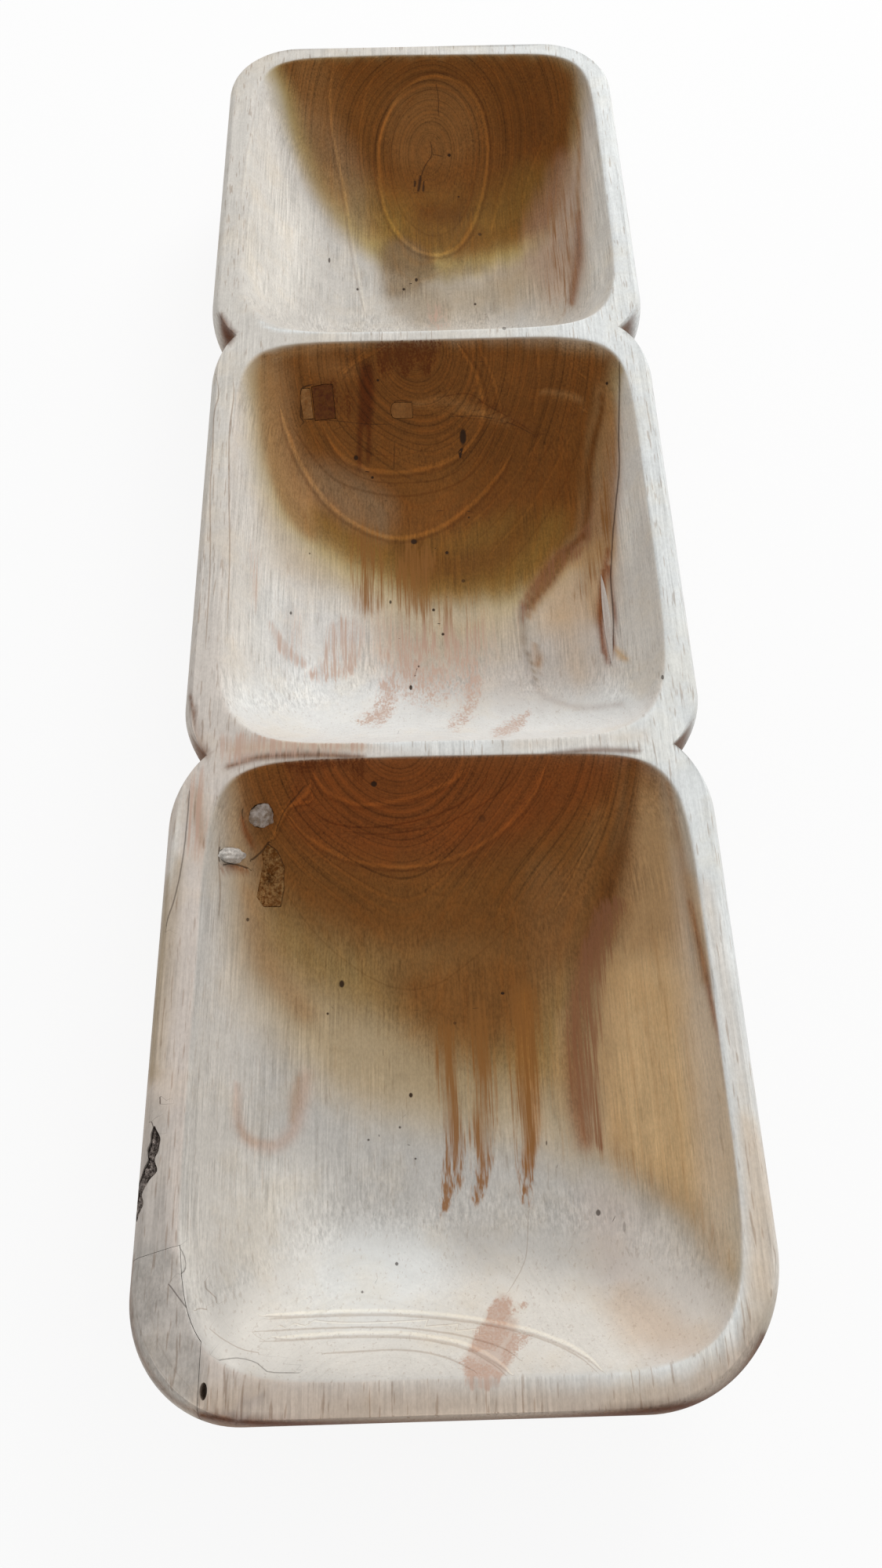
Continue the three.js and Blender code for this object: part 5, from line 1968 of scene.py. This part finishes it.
@dataclass
class DishBody:
    """The log with its three bowls, one closed mesh."""

    form: DishForm
    step: float = 2.1
    floor_rings: int = 22
    wall_rings: int = 24
    divider_points: int = 78
    rim_shares: tuple[float, ...] = (0.82, 0.64, 0.46, 0.3, 0.17, 0.08, 0.0)
    edge_shares: tuple[float, ...] = (0.995, 0.99, 0.984, 0.977, 0.968)
    wall_shares: tuple[float, float] = (0.957, 0.62)
    floor_shares: tuple[float, float] = (0.6, 0.02)

    def counts(self) -> list[list[int]]:
        """How many points each stretch of the outline holds, from its length at the widest line."""
        runs = self.form.stretches(0.0, 0.0)
        return [[max(3, round(part.length() / self.step)) for part in run] for run in runs]

    def ring(self, side: float, end: float, counts: list[list[int]]) -> np.ndarray:
        """Outline at one level as points, the four runs in order.

        Args:
            side: how far the sides stand in.
            end: how far the ends stand in.
            counts: points in each stretch.

        Returns:
            n by 2 places.
        """
        runs = self.form.stretches(side, end)
        parts = [p.points(n) for run, row in zip(runs, counts) for p, n in zip(run, row)]
        return np.vstack(parts)

    def shares(self) -> np.ndarray:
        """Shares of the way from a bowl's edge to its middle, closest at the edge and the wall.

        Returns:
            Falling shares.
        """
        wall = np.linspace(*self.wall_shares, self.wall_rings)
        floor = np.linspace(*self.floor_shares, self.floor_rings)
        return np.concatenate([self.edge_shares, wall, floor])

    def cells(self, runs: list[int], near: np.ndarray, far: np.ndarray) -> list[np.ndarray]:
        """Closed rings of boundary indices of the three bowls, anticlockwise.

        Args:
            runs: points in the four runs of the outline.
            near: indices of the near divider's inner points, from left to right.
            far: indices of the far divider's inner points, from left to right.

        Returns:
            The far, middle and near rings.
        """
        a, b, c = np.cumsum(runs)[:3]
        total = sum(runs)
        far_run = np.arange(0, a)
        left_run, near_run, right_run = np.arange(a, b), np.arange(b, c), np.arange(c, total)
        far_cell = np.concatenate([far_run, [a], far])
        middle_cell = np.concatenate([left_run, [b], near, right_run, [0], far[::-1]])
        near_cell = np.concatenate([near_run, [c], near[::-1]])
        return [far_cell, middle_cell, near_cell]

    def divider(self, outline: np.ndarray, left: int, right: int, bow: float = 0.0) -> np.ndarray:
        """Points between two notches of an outline, without the notches, bowed along the dish.

        Args:
            outline: n by 2 places.
            left: index of the left notch.
            right: index of the right notch.
            bow: how far the middle stands towards the far end.

        Returns:
            The points from left to right.
        """
        share = np.linspace(0, 1, self.divider_points + 2)[1:-1, None]
        line = outline[left] + share * (outline[right] - outline[left])
        return line + np.array([[0.0, bow]]) * (1 - (2 * share - 1) ** 8)

    def build(self) -> bpy.types.Object:
        """Closed mesh: rays from each bowl's middle over the wall and rim, an outer skin and a base.

        On a ray the top is the form's height; the outer skin is the outline at each level.

        Returns:
            The body's object.
        """
        form = self.form
        counts = self.counts()
        runs = [sum(row) for row in counts]
        total = sum(runs)
        starts = np.concatenate([[0], np.cumsum(runs)[:3]])
        rim = self.ring(form.rim_side, form.rim_end, counts)
        points, faces = [], []
        inner = self.divider_points
        far_line = self.divider(rim, starts[1], starts[0], form.far_lip / 2 - form.far_notch_shift)
        near_line = self.divider(rim, starts[2], starts[3], form.far_lip / 2)
        edge = np.vstack([rim, near_line, far_line])
        points.append(np.column_stack([edge, form.top(edge[:, 0], edge[:, 1])]))
        near_ids = np.arange(total, total + inner)
        far_ids = near_ids + inner
        held = total + 2 * inner
        rim_shares = np.array(self.rim_shares)
        for bowl, cell in zip(form.bowls(), self.cells(runs, near_ids, far_ids)):
            outline = edge[cell]
            middle = np.array([0.0, bowl.middle])
            lip = middle + (outline - middle) / bowl.reach(outline[:, 0], outline[:, 1])[:, None]
            on_rim = lip[None] + rim_shares[:, None, None] * (outline - lip)[None]
            in_bowl = middle + self.shares()[:, None, None] * (lip - middle)[None]
            plan = np.concatenate([on_rim, in_bowl])
            z = form.top(plan[..., 0], plan[..., 1])
            points.append(np.concatenate([plan, z[..., None]], axis=2).reshape(-1, 3))
            size = len(cell)
            rings = held + np.arange(len(plan) * size).reshape(len(plan), size)
            held += len(plan) * size
            points.append(np.array([[*middle, float(form.top(*middle))]]))
            faces.append(band(cell, rings[0]))
            faces.extend(band(rings[i], rings[i + 1]) for i in range(len(plan) - 1))
            faces.append(fan(rings[-1], held))
            held += 1
        above = np.arange(total)
        for z, side, end in form.outer_levels():
            outline = self.ring(side, end, counts)
            below = held + np.arange(total)
            points.append(np.column_stack([outline, np.full(total, z)]))
            faces.append(band(above, below)[:, [0, 3, 2, 1]])
            above = below
            held += total
        near_base = self.divider(outline, starts[2], starts[3])
        base = np.vstack([near_base, self.divider(outline, starts[1], starts[0])])
        points.append(np.column_stack([base, np.zeros(2 * inner)]))
        base_near = held + np.arange(inner)
        held += 2 * inner
        first = above[0]
        for bowl, cell in zip(form.bowls(), self.cells(runs, base_near - first, base_near + inner - first)):
            points.append(np.array([[0.0, bowl.middle, 0.0]]))
            faces.append(fan(cell[::-1] + first, held))
            held += 1
        return mesh_object("carved_body", np.vstack(points), faces)


# Let-in pieces


@dataclass(frozen=True)
class InsertFinish:
    """Finish of a let-in piece: two tones drawn out along its fibres, with speckles and relief."""

    name: str
    light: Tone
    dark: Tone
    fineness: float = 1.0
    fibre_share: float = 0.6
    speckle_scale: float = 700.0
    roughness: float = 0.62
    specular: float = 0.25
    relief: float = 0.3
    relief_distance: float = 0.0008

    def make(self, effects: Effects) -> bpy.types.Material:
        """Material whose two tones follow fibres and speckles.

        Args:
            effects: the shared node groups.

        Returns:
            The material.
        """
        material = bpy.data.materials.new(self.name)
        board = Board(emptied(material))
        where = board.node("ShaderNodeTexCoord").outputs["Object"]
        fibres = board.group(effects.fibres, {"Vector": where, "Fineness": self.fineness})
        speckle = board.noise(where, self.speckle_scale, 4.0, 0.65)
        drawn = board.times(fibres["Broad"], self.fibre_share)
        level = board.plus(drawn, board.times(speckle, 1.0 - self.fibre_share))
        colour = board.mix(board.ramp(level, 0.36, 0.64), rgba(self.dark), rgba(self.light))
        shade = board.ramp(fibres["Fine"], 0.3, 0.7, 0.82, 1.12)
        look = {
            "Base Color": board.shaded(colour, board.grey(shade)),
            "Roughness": self.roughness,
            "Specular IOR Level": self.specular,
        }
        height = board.plus(level, board.times(fibres["Fine"], 0.4))
        board.surface(look, height, self.relief, self.relief_distance)
        return material


CUT_OVER = 4.0
CARVED_EDGE = 40.0
INLAY_EDGE = 45.0
BARK_EDGE = 50.0


def stack(rings: np.ndarray) -> Solid:
    """Closed solid from rings that run from its foot to its crown, capped by their middles.

    Args:
        rings: k by n by 3 places, anticlockwise seen from the crown.

    Returns:
        Its points and faces.
    """
    k, n = rings.shape[:2]
    ids = np.arange(k * n).reshape(k, n)
    faces = [band(ids[i], ids[i + 1]) for i in range(k - 1)]
    faces.append(fan(ids[-1], k * n + 1))
    faces.append(fan(ids[0][::-1], k * n))
    return np.vstack([rings.reshape(-1, 3), rings[0].mean(0)[None], rings[-1].mean(0)[None]]), faces


def at_level(plan: np.ndarray, z: float) -> np.ndarray:
    """An outline's points at one height."""
    return np.column_stack([plan, np.full(len(plan), z)])


def upright(plan: np.ndarray, low: float, high: float) -> Solid:
    """Upright cutter with the stated outline between two heights."""
    return stack(np.stack([at_level(plan, low), at_level(plan, high)]))


def turned(x: np.ndarray, y: np.ndarray, degrees: float) -> tuple[np.ndarray, np.ndarray]:
    """Places turned anticlockwise about the origin."""
    c, s = math.cos(math.radians(degrees)), math.sin(math.radians(degrees))
    return x * c - y * s, x * s + y * c


def gather(solids: list[Solid]) -> Solid:
    """Several closed solids as one set of points and faces.

    Args:
        solids: points and faces of each.

    Returns:
        All points, and the faces with their indices moved on.
    """
    points, faces, held = [], [], 0
    for places, rows in solids:
        points.append(places)
        faces.extend(row + held for row in rows)
        held += len(places)
    return np.vstack(points), faces


def lens(length: float, width: float, count: int = 24) -> Path:
    """Slim outline between two bowed sides: half a width times one minus the square along it.

    Args:
        length: from tip to tip.
        width: at the middle.
        count: points along each side.

    Returns:
        The outline's corners.
    """
    t = np.linspace(-1, 1, count)
    side = width / 2 * (1 - t**2)
    low = np.column_stack([t * length / 2, -side])
    high = np.column_stack([t * length / 2, side])[::-1]
    return tuple(map(tuple, np.vstack([low, high[1:-1]]).tolist()))


@dataclass(frozen=True)
class WallPiece:
    """Piece on a bowl's wall: the CAD node it stands for and its seat by bearing and drop."""

    name: str
    node: str
    slot: str
    zone: Zone
    finish: InsertFinish
    bearing: float
    drop: float

    def seat_on(self, form: DishForm) -> WallFrame:
        """The piece's seat on its bowl's wall."""
        return form.wall_frame(form.bowls()[self.zone.value], self.bearing, self.drop)


@dataclass(frozen=True)
class Inlay(WallPiece):
    """Piece let into the wall, flush with it, its outline in millimetres across and up the wall."""

    depth: float = 5.0
    corners: Path = ()
    shift: float = 0.0
    turn: float = 0.0
    sink: float = 0.05
    relief: float = 0.05
    grain: tuple[float, float] = (1.0, 1.0)
    spacing: float = 0.7
    rings: int = 7
    seed: int = 1
    gap: float = 0.12
    lip: float = 0.25
    waves: int = 5

    def outline(self, grow: float) -> np.ndarray:
        """Outline with even points, grown outwards from its middle, turned and shifted.

        Args:
            grow: how far each side moves out.

        Returns:
            n by 2 offsets across and up the wall.
        """
        loop = np.asarray(self.corners, float)
        middle = (loop.max(0) + loop.min(0)) / 2
        half = (loop.max(0) - loop.min(0)) / 2
        loop = middle + (loop - middle) * (half + grow) / half
        closed = np.vstack([loop, loop[:1]])
        run = np.concatenate([[0], np.cumsum(np.hypot(*np.diff(closed, axis=0).T))])
        at = np.linspace(0, run[-1], max(12, int(run[-1] / self.spacing)), endpoint=False)
        x, y = turned(np.interp(at, run, closed[:, 0]), np.interp(at, run, closed[:, 1]), self.turn)
        return np.column_stack([x + self.shift, y])

    def pocket(self, form: DishForm) -> Solid:
        """Cutter for the piece's pocket: its outline grown by the glue gap, open past the wall.

        Args:
            form: the dish's formulas.

        Returns:
            The cutter's points and faces.
        """
        across, upward = self.outline(self.gap).T
        here = self.seat_on(form)
        wall = form.on_wall(here, across, upward)
        foot = here.place(across, upward, wall - self.depth - self.gap)
        return stack(np.stack([foot, here.place(across, upward, wall + CUT_OVER)]))

    def build(self, form: DishForm) -> bpy.types.Object:
        """The piece: rings of its outline shrunk towards the middle, laid on the wall's formula.

        Args:
            form: the dish's formulas.

        Returns:
            The piece's object.
        """
        loop = self.outline(0.0)
        middle = loop.mean(0)
        here = self.seat_on(form)
        shares = np.concatenate([[1.0, 1.0, 0.985], np.linspace(0.94, 0.12, self.rings)])
        plan = middle + shares[:, None, None] * (loop - middle)[None]
        chance = np.random.default_rng(self.seed)
        waves = chance.uniform(1.2, 5.0, (self.waves, 2)) * np.asarray(self.grain)
        phase = chance.uniform(0, 6.3, self.waves)
        rough = sum(np.sin(plan @ w + p) for w, p in zip(waves, phase)) / self.waves
        rough = rough + 0.6 * chance.uniform(-1, 1, rough.shape)
        lift = form.on_wall(here, plan[..., 0], plan[..., 1]) - self.sink + self.relief * rough
        lift[0] -= self.depth
        lift[1] -= self.lip
        rings = here.place(plan[..., 0], plan[..., 1], lift)
        return sharp_edged(mesh_object(self.name, *stack(rings)), INLAY_EDGE)


@dataclass(frozen=True)
class GlueBead(WallPiece):
    """Drop of dried glue, half sunk in the wall: an ellipsoid with a foamed, lumpy skin."""

    size: tuple[float, float, float] = (8.0, 8.0, 4.0)
    lumps: float = 0.1
    turn: float = 0.0
    seed: int = 3
    gap: float = 0.22
    waves: int = 9
    seat_grid: tuple[int, int] = (9, 20)
    skin_grid: tuple[int, int] = (34, 56)

    def skin(self, form: DishForm, rows: int, columns: int, lumps: float, grow: float) -> Solid:
        """Ellipsoid by latitude and longitude, each half axis swelled by a sum of waves.

        Args:
            form: the dish's formulas.
            rows: rings from pole to pole.
            columns: points in a ring.
            lumps: share by which the waves swell it.
            grow: added to each half axis.

        Returns:
            The bead's points and faces.
        """
        lat = np.linspace(-math.pi / 2, math.pi / 2, rows + 2)[1:-1, None]
        lon = np.linspace(0, 2 * math.pi, columns, endpoint=False)[None]
        axes = np.cos(lat) * np.cos(lon), np.cos(lat) * np.sin(lon), np.sin(lat)
        way = np.stack(np.broadcast_arrays(*axes), axis=-1)
        chance = np.random.default_rng(self.seed)
        waves = chance.normal(0, 4.5, (self.waves, 3))
        phase = chance.uniform(0, 6.3, self.waves)
        swell = sum(np.sin(way @ w + p) for w, p in zip(waves, phase)) / self.waves
        half = np.asarray(self.size) / 2 + grow
        local = way * half * (1 + lumps * 2.0 * swell)[..., None]
        across, upward = turned(local[..., 0], local[..., 1], self.turn)
        return stack(self.seat_on(form).place(across, upward, local[..., 2]))

    def pocket(self, form: DishForm) -> Solid:
        """Cutter for the bead's seat."""
        return self.skin(form, *self.seat_grid, 0.0, self.gap)

    def build(self, form: DishForm) -> bpy.types.Object:
        """The bead's object."""
        return mesh_object(self.name, *self.skin(form, *self.skin_grid, self.lumps, 0.0))


@dataclass(frozen=True)
class BarkStrip:
    """Broken bark left in a slim pocket that slants across the left rim."""

    finish: InsertFinish
    length: float = 26.0
    width: float = 4.0
    depth: float = 7.0
    inset: float = 4.4
    from_end: float = 66.5
    turn: float = 10.7
    gap: float = 0.25
    floor_gap: float = 0.4
    sink: float = 0.5
    clump: float = 1.1
    edge_drop: float = 0.9
    rows: int = 90
    columns: int = 15
    pocket_points: int = 44
    seed: int = 7

    def spread(
        self, form: DishForm, along: np.ndarray, across: np.ndarray
    ) -> tuple[np.ndarray, np.ndarray]:
        """Plan places of offsets along and across the strip."""
        x, y = turned(across, along, -self.turn)
        return self.inset - form.half_width + x, self.from_end - form.half_length + y

    def surface(self, form: DishForm, x: np.ndarray) -> np.ndarray:
        """Height of the rim's rounded outer edge at places near the left side."""
        share = np.clip(1 - (x + form.half_width) / form.rim_side, 0, 1)
        return form.height - form.bulge_drop * (1 - np.sqrt(1 - share**2))

    def edges(self, t: np.ndarray) -> tuple[np.ndarray, np.ndarray]:
        """Middle line and half width along the crooked strip: waves, narrowing at both tips.

        Args:
            t: places from -1 to 1 along it.

        Returns:
            The middle line and the half width.
        """
        middle = 0.75 * np.sin(4.2 * t + 0.4) + 0.4 * np.sin(9.5 * t + 1.0)
        half = self.width / 2 * (1 - t**4) * (0.74 + 0.2 * np.sin(8.0 * t + 2.0) + 0.14 * np.sin(17.0 * t))
        return middle, half

    def pocket(self, form: DishForm) -> Solid:
        """Cutter for the strip's pocket.

        Args:
            form: the dish's formulas.

        Returns:
            The cutter's points and faces.
        """
        t = np.linspace(-1, 1, self.pocket_points)
        middle, half = self.edges(t)
        along = np.concatenate([t, t[::-1]]) * (self.length / 2 + self.gap)
        across = np.concatenate([middle + half + self.gap, (middle - half - self.gap)[::-1]])
        plan = np.column_stack(self.spread(form, along, across))
        return upright(plan, form.height - self.depth, form.height + CUT_OVER)

    def build(self, form: DishForm) -> bpy.types.Object:
        """The strip: a grid along and across it, its crown broken into clumps and gaps.

        Args:
            form: the dish's formulas.

        Returns:
            The strip's object.
        """
        t = np.linspace(-0.985, 0.985, self.rows)[:, None]
        s = np.linspace(-1, 1, self.columns)[None]
        middle, half = self.edges(t)
        along, across = np.broadcast_arrays(t * self.length / 2, middle + s * half)
        x, y = self.spread(form, along, across)
        clumps = np.sin(1.55 * along + 0.8) + 0.7 * np.sin(3.1 * along + 1.7 * across)
        clumps = clumps + 0.5 * np.sin(6.0 * across + along)
        chance = np.random.default_rng(self.seed)
        lumps = 0.5 + 0.28 * clumps + 0.35 * chance.uniform(-1, 1, along.shape)
        drop = self.sink + self.clump * (1 - np.clip(lumps, 0, 1)) + self.edge_drop * s**6
        crown = np.stack([x, y, np.minimum(self.surface(form, x) - drop, form.height - 0.1)], axis=-1)
        foot = np.stack([x, y, np.full(x.shape, form.height - self.depth + self.floor_gap)], axis=-1)
        count = self.rows * self.columns
        ids = np.arange(count).reshape(self.rows, self.columns)
        rim = np.concatenate([ids[:-1, 0], ids[-1, :-1], ids[:0:-1, -1], ids[0, :0:-1]])
        grid = np.stack([ids[:-1, :-1], ids[:-1, 1:], ids[1:, 1:], ids[1:, :-1]], axis=-1).reshape(-1, 4)
        faces = [grid, grid[:, ::-1] + count, band(rim, rim + count)]
        points = np.vstack([crown.reshape(-1, 3), foot.reshape(-1, 3)])
        return sharp_edged(mesh_object("bark_clumps", points, faces), BARK_EDGE)


@dataclass(frozen=True)
class CornerBlock:
    """Grey block let into the near left corner, its inner faces along the bowl's edge."""

    joint_in: float = 8.6
    length: float = 46.5
    slant: float = 6.0
    height: float = 30.0
    over: float = 6.0
    gap: float = 0.14
    edge_points: int = 9

    def tool(self, form: DishForm, grow: float) -> Solid:
        """Upright prism that holds the block, grown on its joint faces by the glue gap.

        Args:
            form: the dish's formulas.
            grow: the glue gap, or nothing for the block itself.

        Returns:
            The prism's points and faces.
        """
        bowl = form.bowls()[Zone.NEAR.value]
        out_x, out_y = form.half_width + self.over, form.half_length + self.over
        joint = self.joint_in + grow - bowl.left
        back = self.length + grow - form.half_length
        side, half = bowl.left - grow, bowl.half - grow
        far_share = abs((back - bowl.middle) / half) ** bowl.power
        back_x = -side * (1 - far_share) ** (1 / bowl.power)
        x = np.linspace(joint, back_x, self.edge_points)
        y = bowl.middle - half * np.maximum(1 - np.abs(x / side) ** bowl.power, 0) ** (1 / bowl.power)
        edge = np.column_stack([x, y])
        plan = np.vstack([[(-out_x, -out_y), (joint, -out_y)], edge, [(-out_x, back - self.slant)]])
        foot = at_level(plan, form.height - self.height - grow)
        crown = at_level(plan, form.height + self.over)
        low = np.arange(len(plan))
        high = low + len(plan)
        return np.vstack([foot, crown]), [band(low, high), high[None], low[::-1][None]]

    def build(self, form: DishForm, body: bpy.types.Object) -> bpy.types.Object:
        """The block: what the uncut body and the prism share.

        Args:
            form: the dish's formulas.
            body: the dish before its pockets are cut.

        Returns:
            The block's object.
        """
        block = bpy.data.objects.new("grey_corner_block", body.data.copy())
        bpy.context.scene.collection.objects.link(block)
        combine(block, self.tool(form, 0.0), "INTERSECT")
        return sharp_edged(block, CARVED_EDGE)


@dataclass(frozen=True)
class FrontHole:
    """Small open hole in the near rim beside the block's joint."""

    from_side: float = 24.65
    from_front: float = 9.4
    half_x: float = 1.05
    half_y: float = 2.2
    depth: float = 9.0
    points: int = 18

    def pocket(self, form: DishForm) -> Solid:
        """Cutter for the hole.

        Args:
            form: the dish's formulas.

        Returns:
            The cutter's points and faces.
        """
        turn = np.linspace(0, 2 * math.pi, self.points, endpoint=False)
        x = self.from_side - form.half_width + self.half_x * np.cos(turn)
        y = self.from_front - form.half_length + self.half_y * np.sin(turn)
        plan = np.column_stack([x, y])
        return upright(plan, form.height - self.depth, form.height + CUT_OVER)


GREY_WOOD = WoodFinish(
    "grey_wood", fibre_depth=0.12, strand_depth=0.1, broad_depth=0.14, ring_depth=0.1,
    hair_depth=0.08, speck_depth=0.4, mottle_depth=1.3,
)
DARK_INLAY = InsertFinish(
    "dark_inlay", Tone.UMBER, Tone.SOOT,
    fineness=1.4, fibre_share=0.4, speckle_scale=600.0, roughness=0.65, specular=0.15, relief=0.5,
)
PALE_SLIVER = InsertFinish(
    "pale_sliver", Tone.TAWNY, Tone.HEART,
    fineness=1.4, fibre_share=0.6, speckle_scale=700.0, roughness=0.65, specular=0.15, relief=0.5,
)
PALE_WEDGE = InsertFinish(
    "pale_wedge", Tone.CHALK, Tone.ROSE,
    fineness=1.2, fibre_share=0.7, speckle_scale=900.0, roughness=0.65, specular=0.2, relief=0.3,
)
PLUG_WOOD = InsertFinish(
    "plug_wood", Tone.RUST, Tone.HEART,
    fineness=1.4, fibre_share=0.5, speckle_scale=600.0, roughness=0.6, specular=0.15, relief=0.4,
)
SAWDUST = InsertFinish(
    "sawdust_fill", Tone.CHAFF, Tone.UMBER,
    fineness=1.8, fibre_share=0.3, speckle_scale=700.0, roughness=0.9, specular=0.1, relief=0.8,
)
GREY_GLUE = InsertFinish(
    "grey_glue", Tone.SMOKE, Tone.GLUE,
    fineness=1.0, fibre_share=0.1, speckle_scale=420.0, roughness=0.35, specular=0.4, relief=0.5,
)
WHITE_GLUE = InsertFinish(
    "white_glue", Tone.PALE, Tone.SLATE,
    fineness=1.0, fibre_share=0.1, speckle_scale=700.0, roughness=0.5, specular=0.4, relief=0.5,
)
BARK = InsertFinish(
    "bark", Tone.SMOKE, Tone.BARK,
    fineness=1.6, fibre_share=0.2, speckle_scale=900.0, roughness=0.95, specular=0.1, relief=1.0,
)

WALL_PIECES = (
    Inlay(
        "dark_wall_patch", "wall_patch", "dark_inlay", Zone.MIDDLE, DARK_INLAY,
        bearing=123.91, drop=19.48,
        corners=((-4.5, -7.2), (4.4, -7.0), (4.5, 6.9), (1.0, 7.25), (-4.4, 6.6)), relief=0.12, sink=0.25,
    ),
    Inlay(
        "pale_patch_sliver", "patch_sliver", "pale_inlay", Zone.MIDDLE, PALE_SLIVER,
        bearing=123.91, drop=19.48,
        corners=((-2.0, -6.2), (2.2, -6.2), (2.3, 6.0), (-1.2, 6.25), (-2.3, 3.0)), shift=-7.4,
    ),
    Inlay(
        "wall_plug", "wall_plug", "plug_wood", Zone.MIDDLE, PLUG_WOOD,
        bearing=100.5, drop=22.66,
        corners=((-4.0, -2.6), (-3.0, -3.2), (4.7, -3.2), (4.6, 3.1), (-3.0, 3.25), (-4.2, 2.2),
                 (-4.7, 0.0)),
    ),
    Inlay(
        "rough_fill", "rough_fill", "sawdust_fill", Zone.NEAR, SAWDUST,
        bearing=138.97, drop=24.58,
        corners=((4.5, 5.5), (1.7, 3.2), (-4.0, 2.2), (-10.2, 1.3), (-12.1, -2.6), (-8.7, -9.3),
                 (-2.8, -8.2), (4.7, -4.6), (8.3, 0.6), (8.7, 4.9)),
        relief=0.3, sink=0.3, grain=(1.6, 0.7), spacing=0.45, rings=16, seed=5,
    ),
    Inlay(
        "crack_wedge", "crack_wedge", "pale_inlay", Zone.MIDDLE, PALE_WEDGE,
        bearing=-21.81, drop=24.2,
        depth=6.0, corners=lens(45.0, 3.6, 40), turn=2.5, relief=0.03, sink=0.1,
    ),
    GlueBead(
        "upper_glue_bead", "upper_glue_bead", "dried_glue", Zone.NEAR, GREY_GLUE,
        bearing=133.03, drop=13.6,
        size=(8.6, 8.6, 4.2), lumps=0.16,
    ),
    GlueBead(
        "lower_glue_bead", "lower_glue_bead", "dried_glue", Zone.NEAR, WHITE_GLUE,
        bearing=143.1, drop=11.2,
        size=(12.0, 5.4, 4.6), lumps=0.14, turn=-69.0, seed=9,
    ),
)


# Studio


@dataclass(frozen=True)
class Studio:
    """Plain pale floor, soft key light from behind on the right, and an even fill."""

    fill: float = 0.62
    key_level: float = 0.55
    key_from: tuple[float, float, float] = (0.38, 0.79, 0.475)
    key_away: float = 2.2
    key_size: float = 1.1
    floor_size: float = 12.0
    floor_white: float = 0.9
    floor_glow: float = 0.88

    def build(self) -> None:
        """Makes the world, the lamp and the floor."""
        scene = bpy.context.scene
        scene.view_settings.view_transform = "Standard"
        scene.world = bpy.data.worlds.new("studio")
        board = Board(emptied(scene.world))
        strength = board.plus(board.times(self.seen(board), 1.0 - self.fill), self.fill)
        ground = board.node("ShaderNodeBackground", {"Color": (1, 1, 1, 1), "Strength": strength})
        board.node("ShaderNodeOutputWorld", {"Surface": ground.outputs[0]})
        self.lamp()
        self.floor()

    def seen(self, board: Board) -> Socket:
        """One for rays that show the surroundings: camera, glossy and transmission rays.

        Args:
            board: the material's or world's board.

        Returns:
            Zero or one.
        """
        path = board.node("ShaderNodeLightPath")
        shown = board.math("MAXIMUM", path.outputs["Is Camera Ray"], path.outputs["Is Glossy Ray"])
        return board.math("MAXIMUM", shown, path.outputs["Is Transmission Ray"])

    def lamp(self) -> None:
        """Square lamp: its power gives the stated level on a surface that faces it."""
        data = bpy.data.lights.new("key", "AREA")
        data.size = self.key_size
        data.energy = self.key_level * math.pi**2 * self.key_away**2
        lamp = bpy.data.objects.new("key", data)
        aim = np.asarray(self.key_from) / np.linalg.norm(self.key_from)
        lamp.location = aim * self.key_away
        lamp.rotation_mode = "QUATERNION"
        lamp.rotation_quaternion = Matrix.Translation(aim).translation.to_track_quat("Z", "Y")
        bpy.context.scene.collection.objects.link(lamp)

    def floor(self) -> None:
        """Large pale floor that glows a little to the camera and keeps the dish's shadow."""
        half = self.floor_size / 2 / METRE
        corners = np.array([[-half, -half, 0], [half, -half, 0], [half, half, 0], [-half, half, 0]])
        floor = mesh_object("studio_floor", corners, [np.array([[0, 1, 2, 3]])])
        material = bpy.data.materials.new("pale_floor")
        board = Board(emptied(material))
        matte = board.node("ShaderNodeBsdfDiffuse", {"Color": (self.floor_white,) * 3 + (1,)})
        glow = board.node("ShaderNodeEmission", {"Color": (1, 1, 1, 1), "Strength": 1.0})
        share = board.times(self.seen(board), self.floor_glow)
        both = board.node("ShaderNodeMixShader", {0: share, 1: matte.outputs[0], 2: glow.outputs[0]})
        board.node("ShaderNodeOutputMaterial", {"Surface": both.outputs[0]})
        floor.data.materials.append(material)


# Assembly


def seat(piece: bpy.types.Object, material: bpy.types.Material, slot: str, *nodes: str) -> None:
    """Dresses a piece, rides it on the dish and lets it stand for its CAD nodes.

    Args:
        piece: the finished object.
        material: its material.
        slot: name of its finish in the library; not used.
        *nodes: the CAD nodes it stands for.
    """
    piece.data.materials.clear()
    piece.data.materials.append(material)
    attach(piece, BODY)
    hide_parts(*nodes)
    LOG.info("%s stands for %s", piece.name, ", ".join(nodes))


def dish_form() -> DishForm:
    """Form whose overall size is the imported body's box.

    Returns:
        The dish's formulas.
    """
    low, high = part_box("dish_body")
    return DishForm(
        half_width=(high.x - low.x) / 2 / METRE,
        half_length=(high.y - low.y) / 2 / METRE,
        height=(high.z - low.z) / METRE,
    )


def main() -> None:
    """Builds and dresses the dish, then the studio and the camera."""
    logging.basicConfig(level=logging.INFO, format="%(name)s: %(message)s")
    form = dish_form()
    view = PhotoView()
    effects = Effects()
    body = DishBody(form).build()
    corner = CornerBlock()
    block = corner.build(form, body)
    bark = BarkStrip(BARK)
    cutters = [part.pocket(form) for part in (bark, FrontHole(), *WALL_PIECES)]
    combine(body, gather([corner.tool(form, corner.gap), *cutters]), "DIFFERENCE")
    sharp_edged(body, CARVED_EDGE)
    for piece in (body, block):
        store(piece.data, TopPainter(form, view, places_of(piece)).lay())
    seat(body, WoodFinish("carved_wood").make(effects), "carved_wood", "dish_body")
    seat(block, GREY_WOOD.make(effects), "grey_wood", "corner_block")
    seat(bark.build(form), bark.finish.make(effects), "bark", "bark_strip")
    for part in WALL_PIECES:
        seat(part.build(form), part.finish.make(effects), part.slot, part.node)
    Studio().build()
    view.make_camera()


if __name__ == "__main__":
    main()
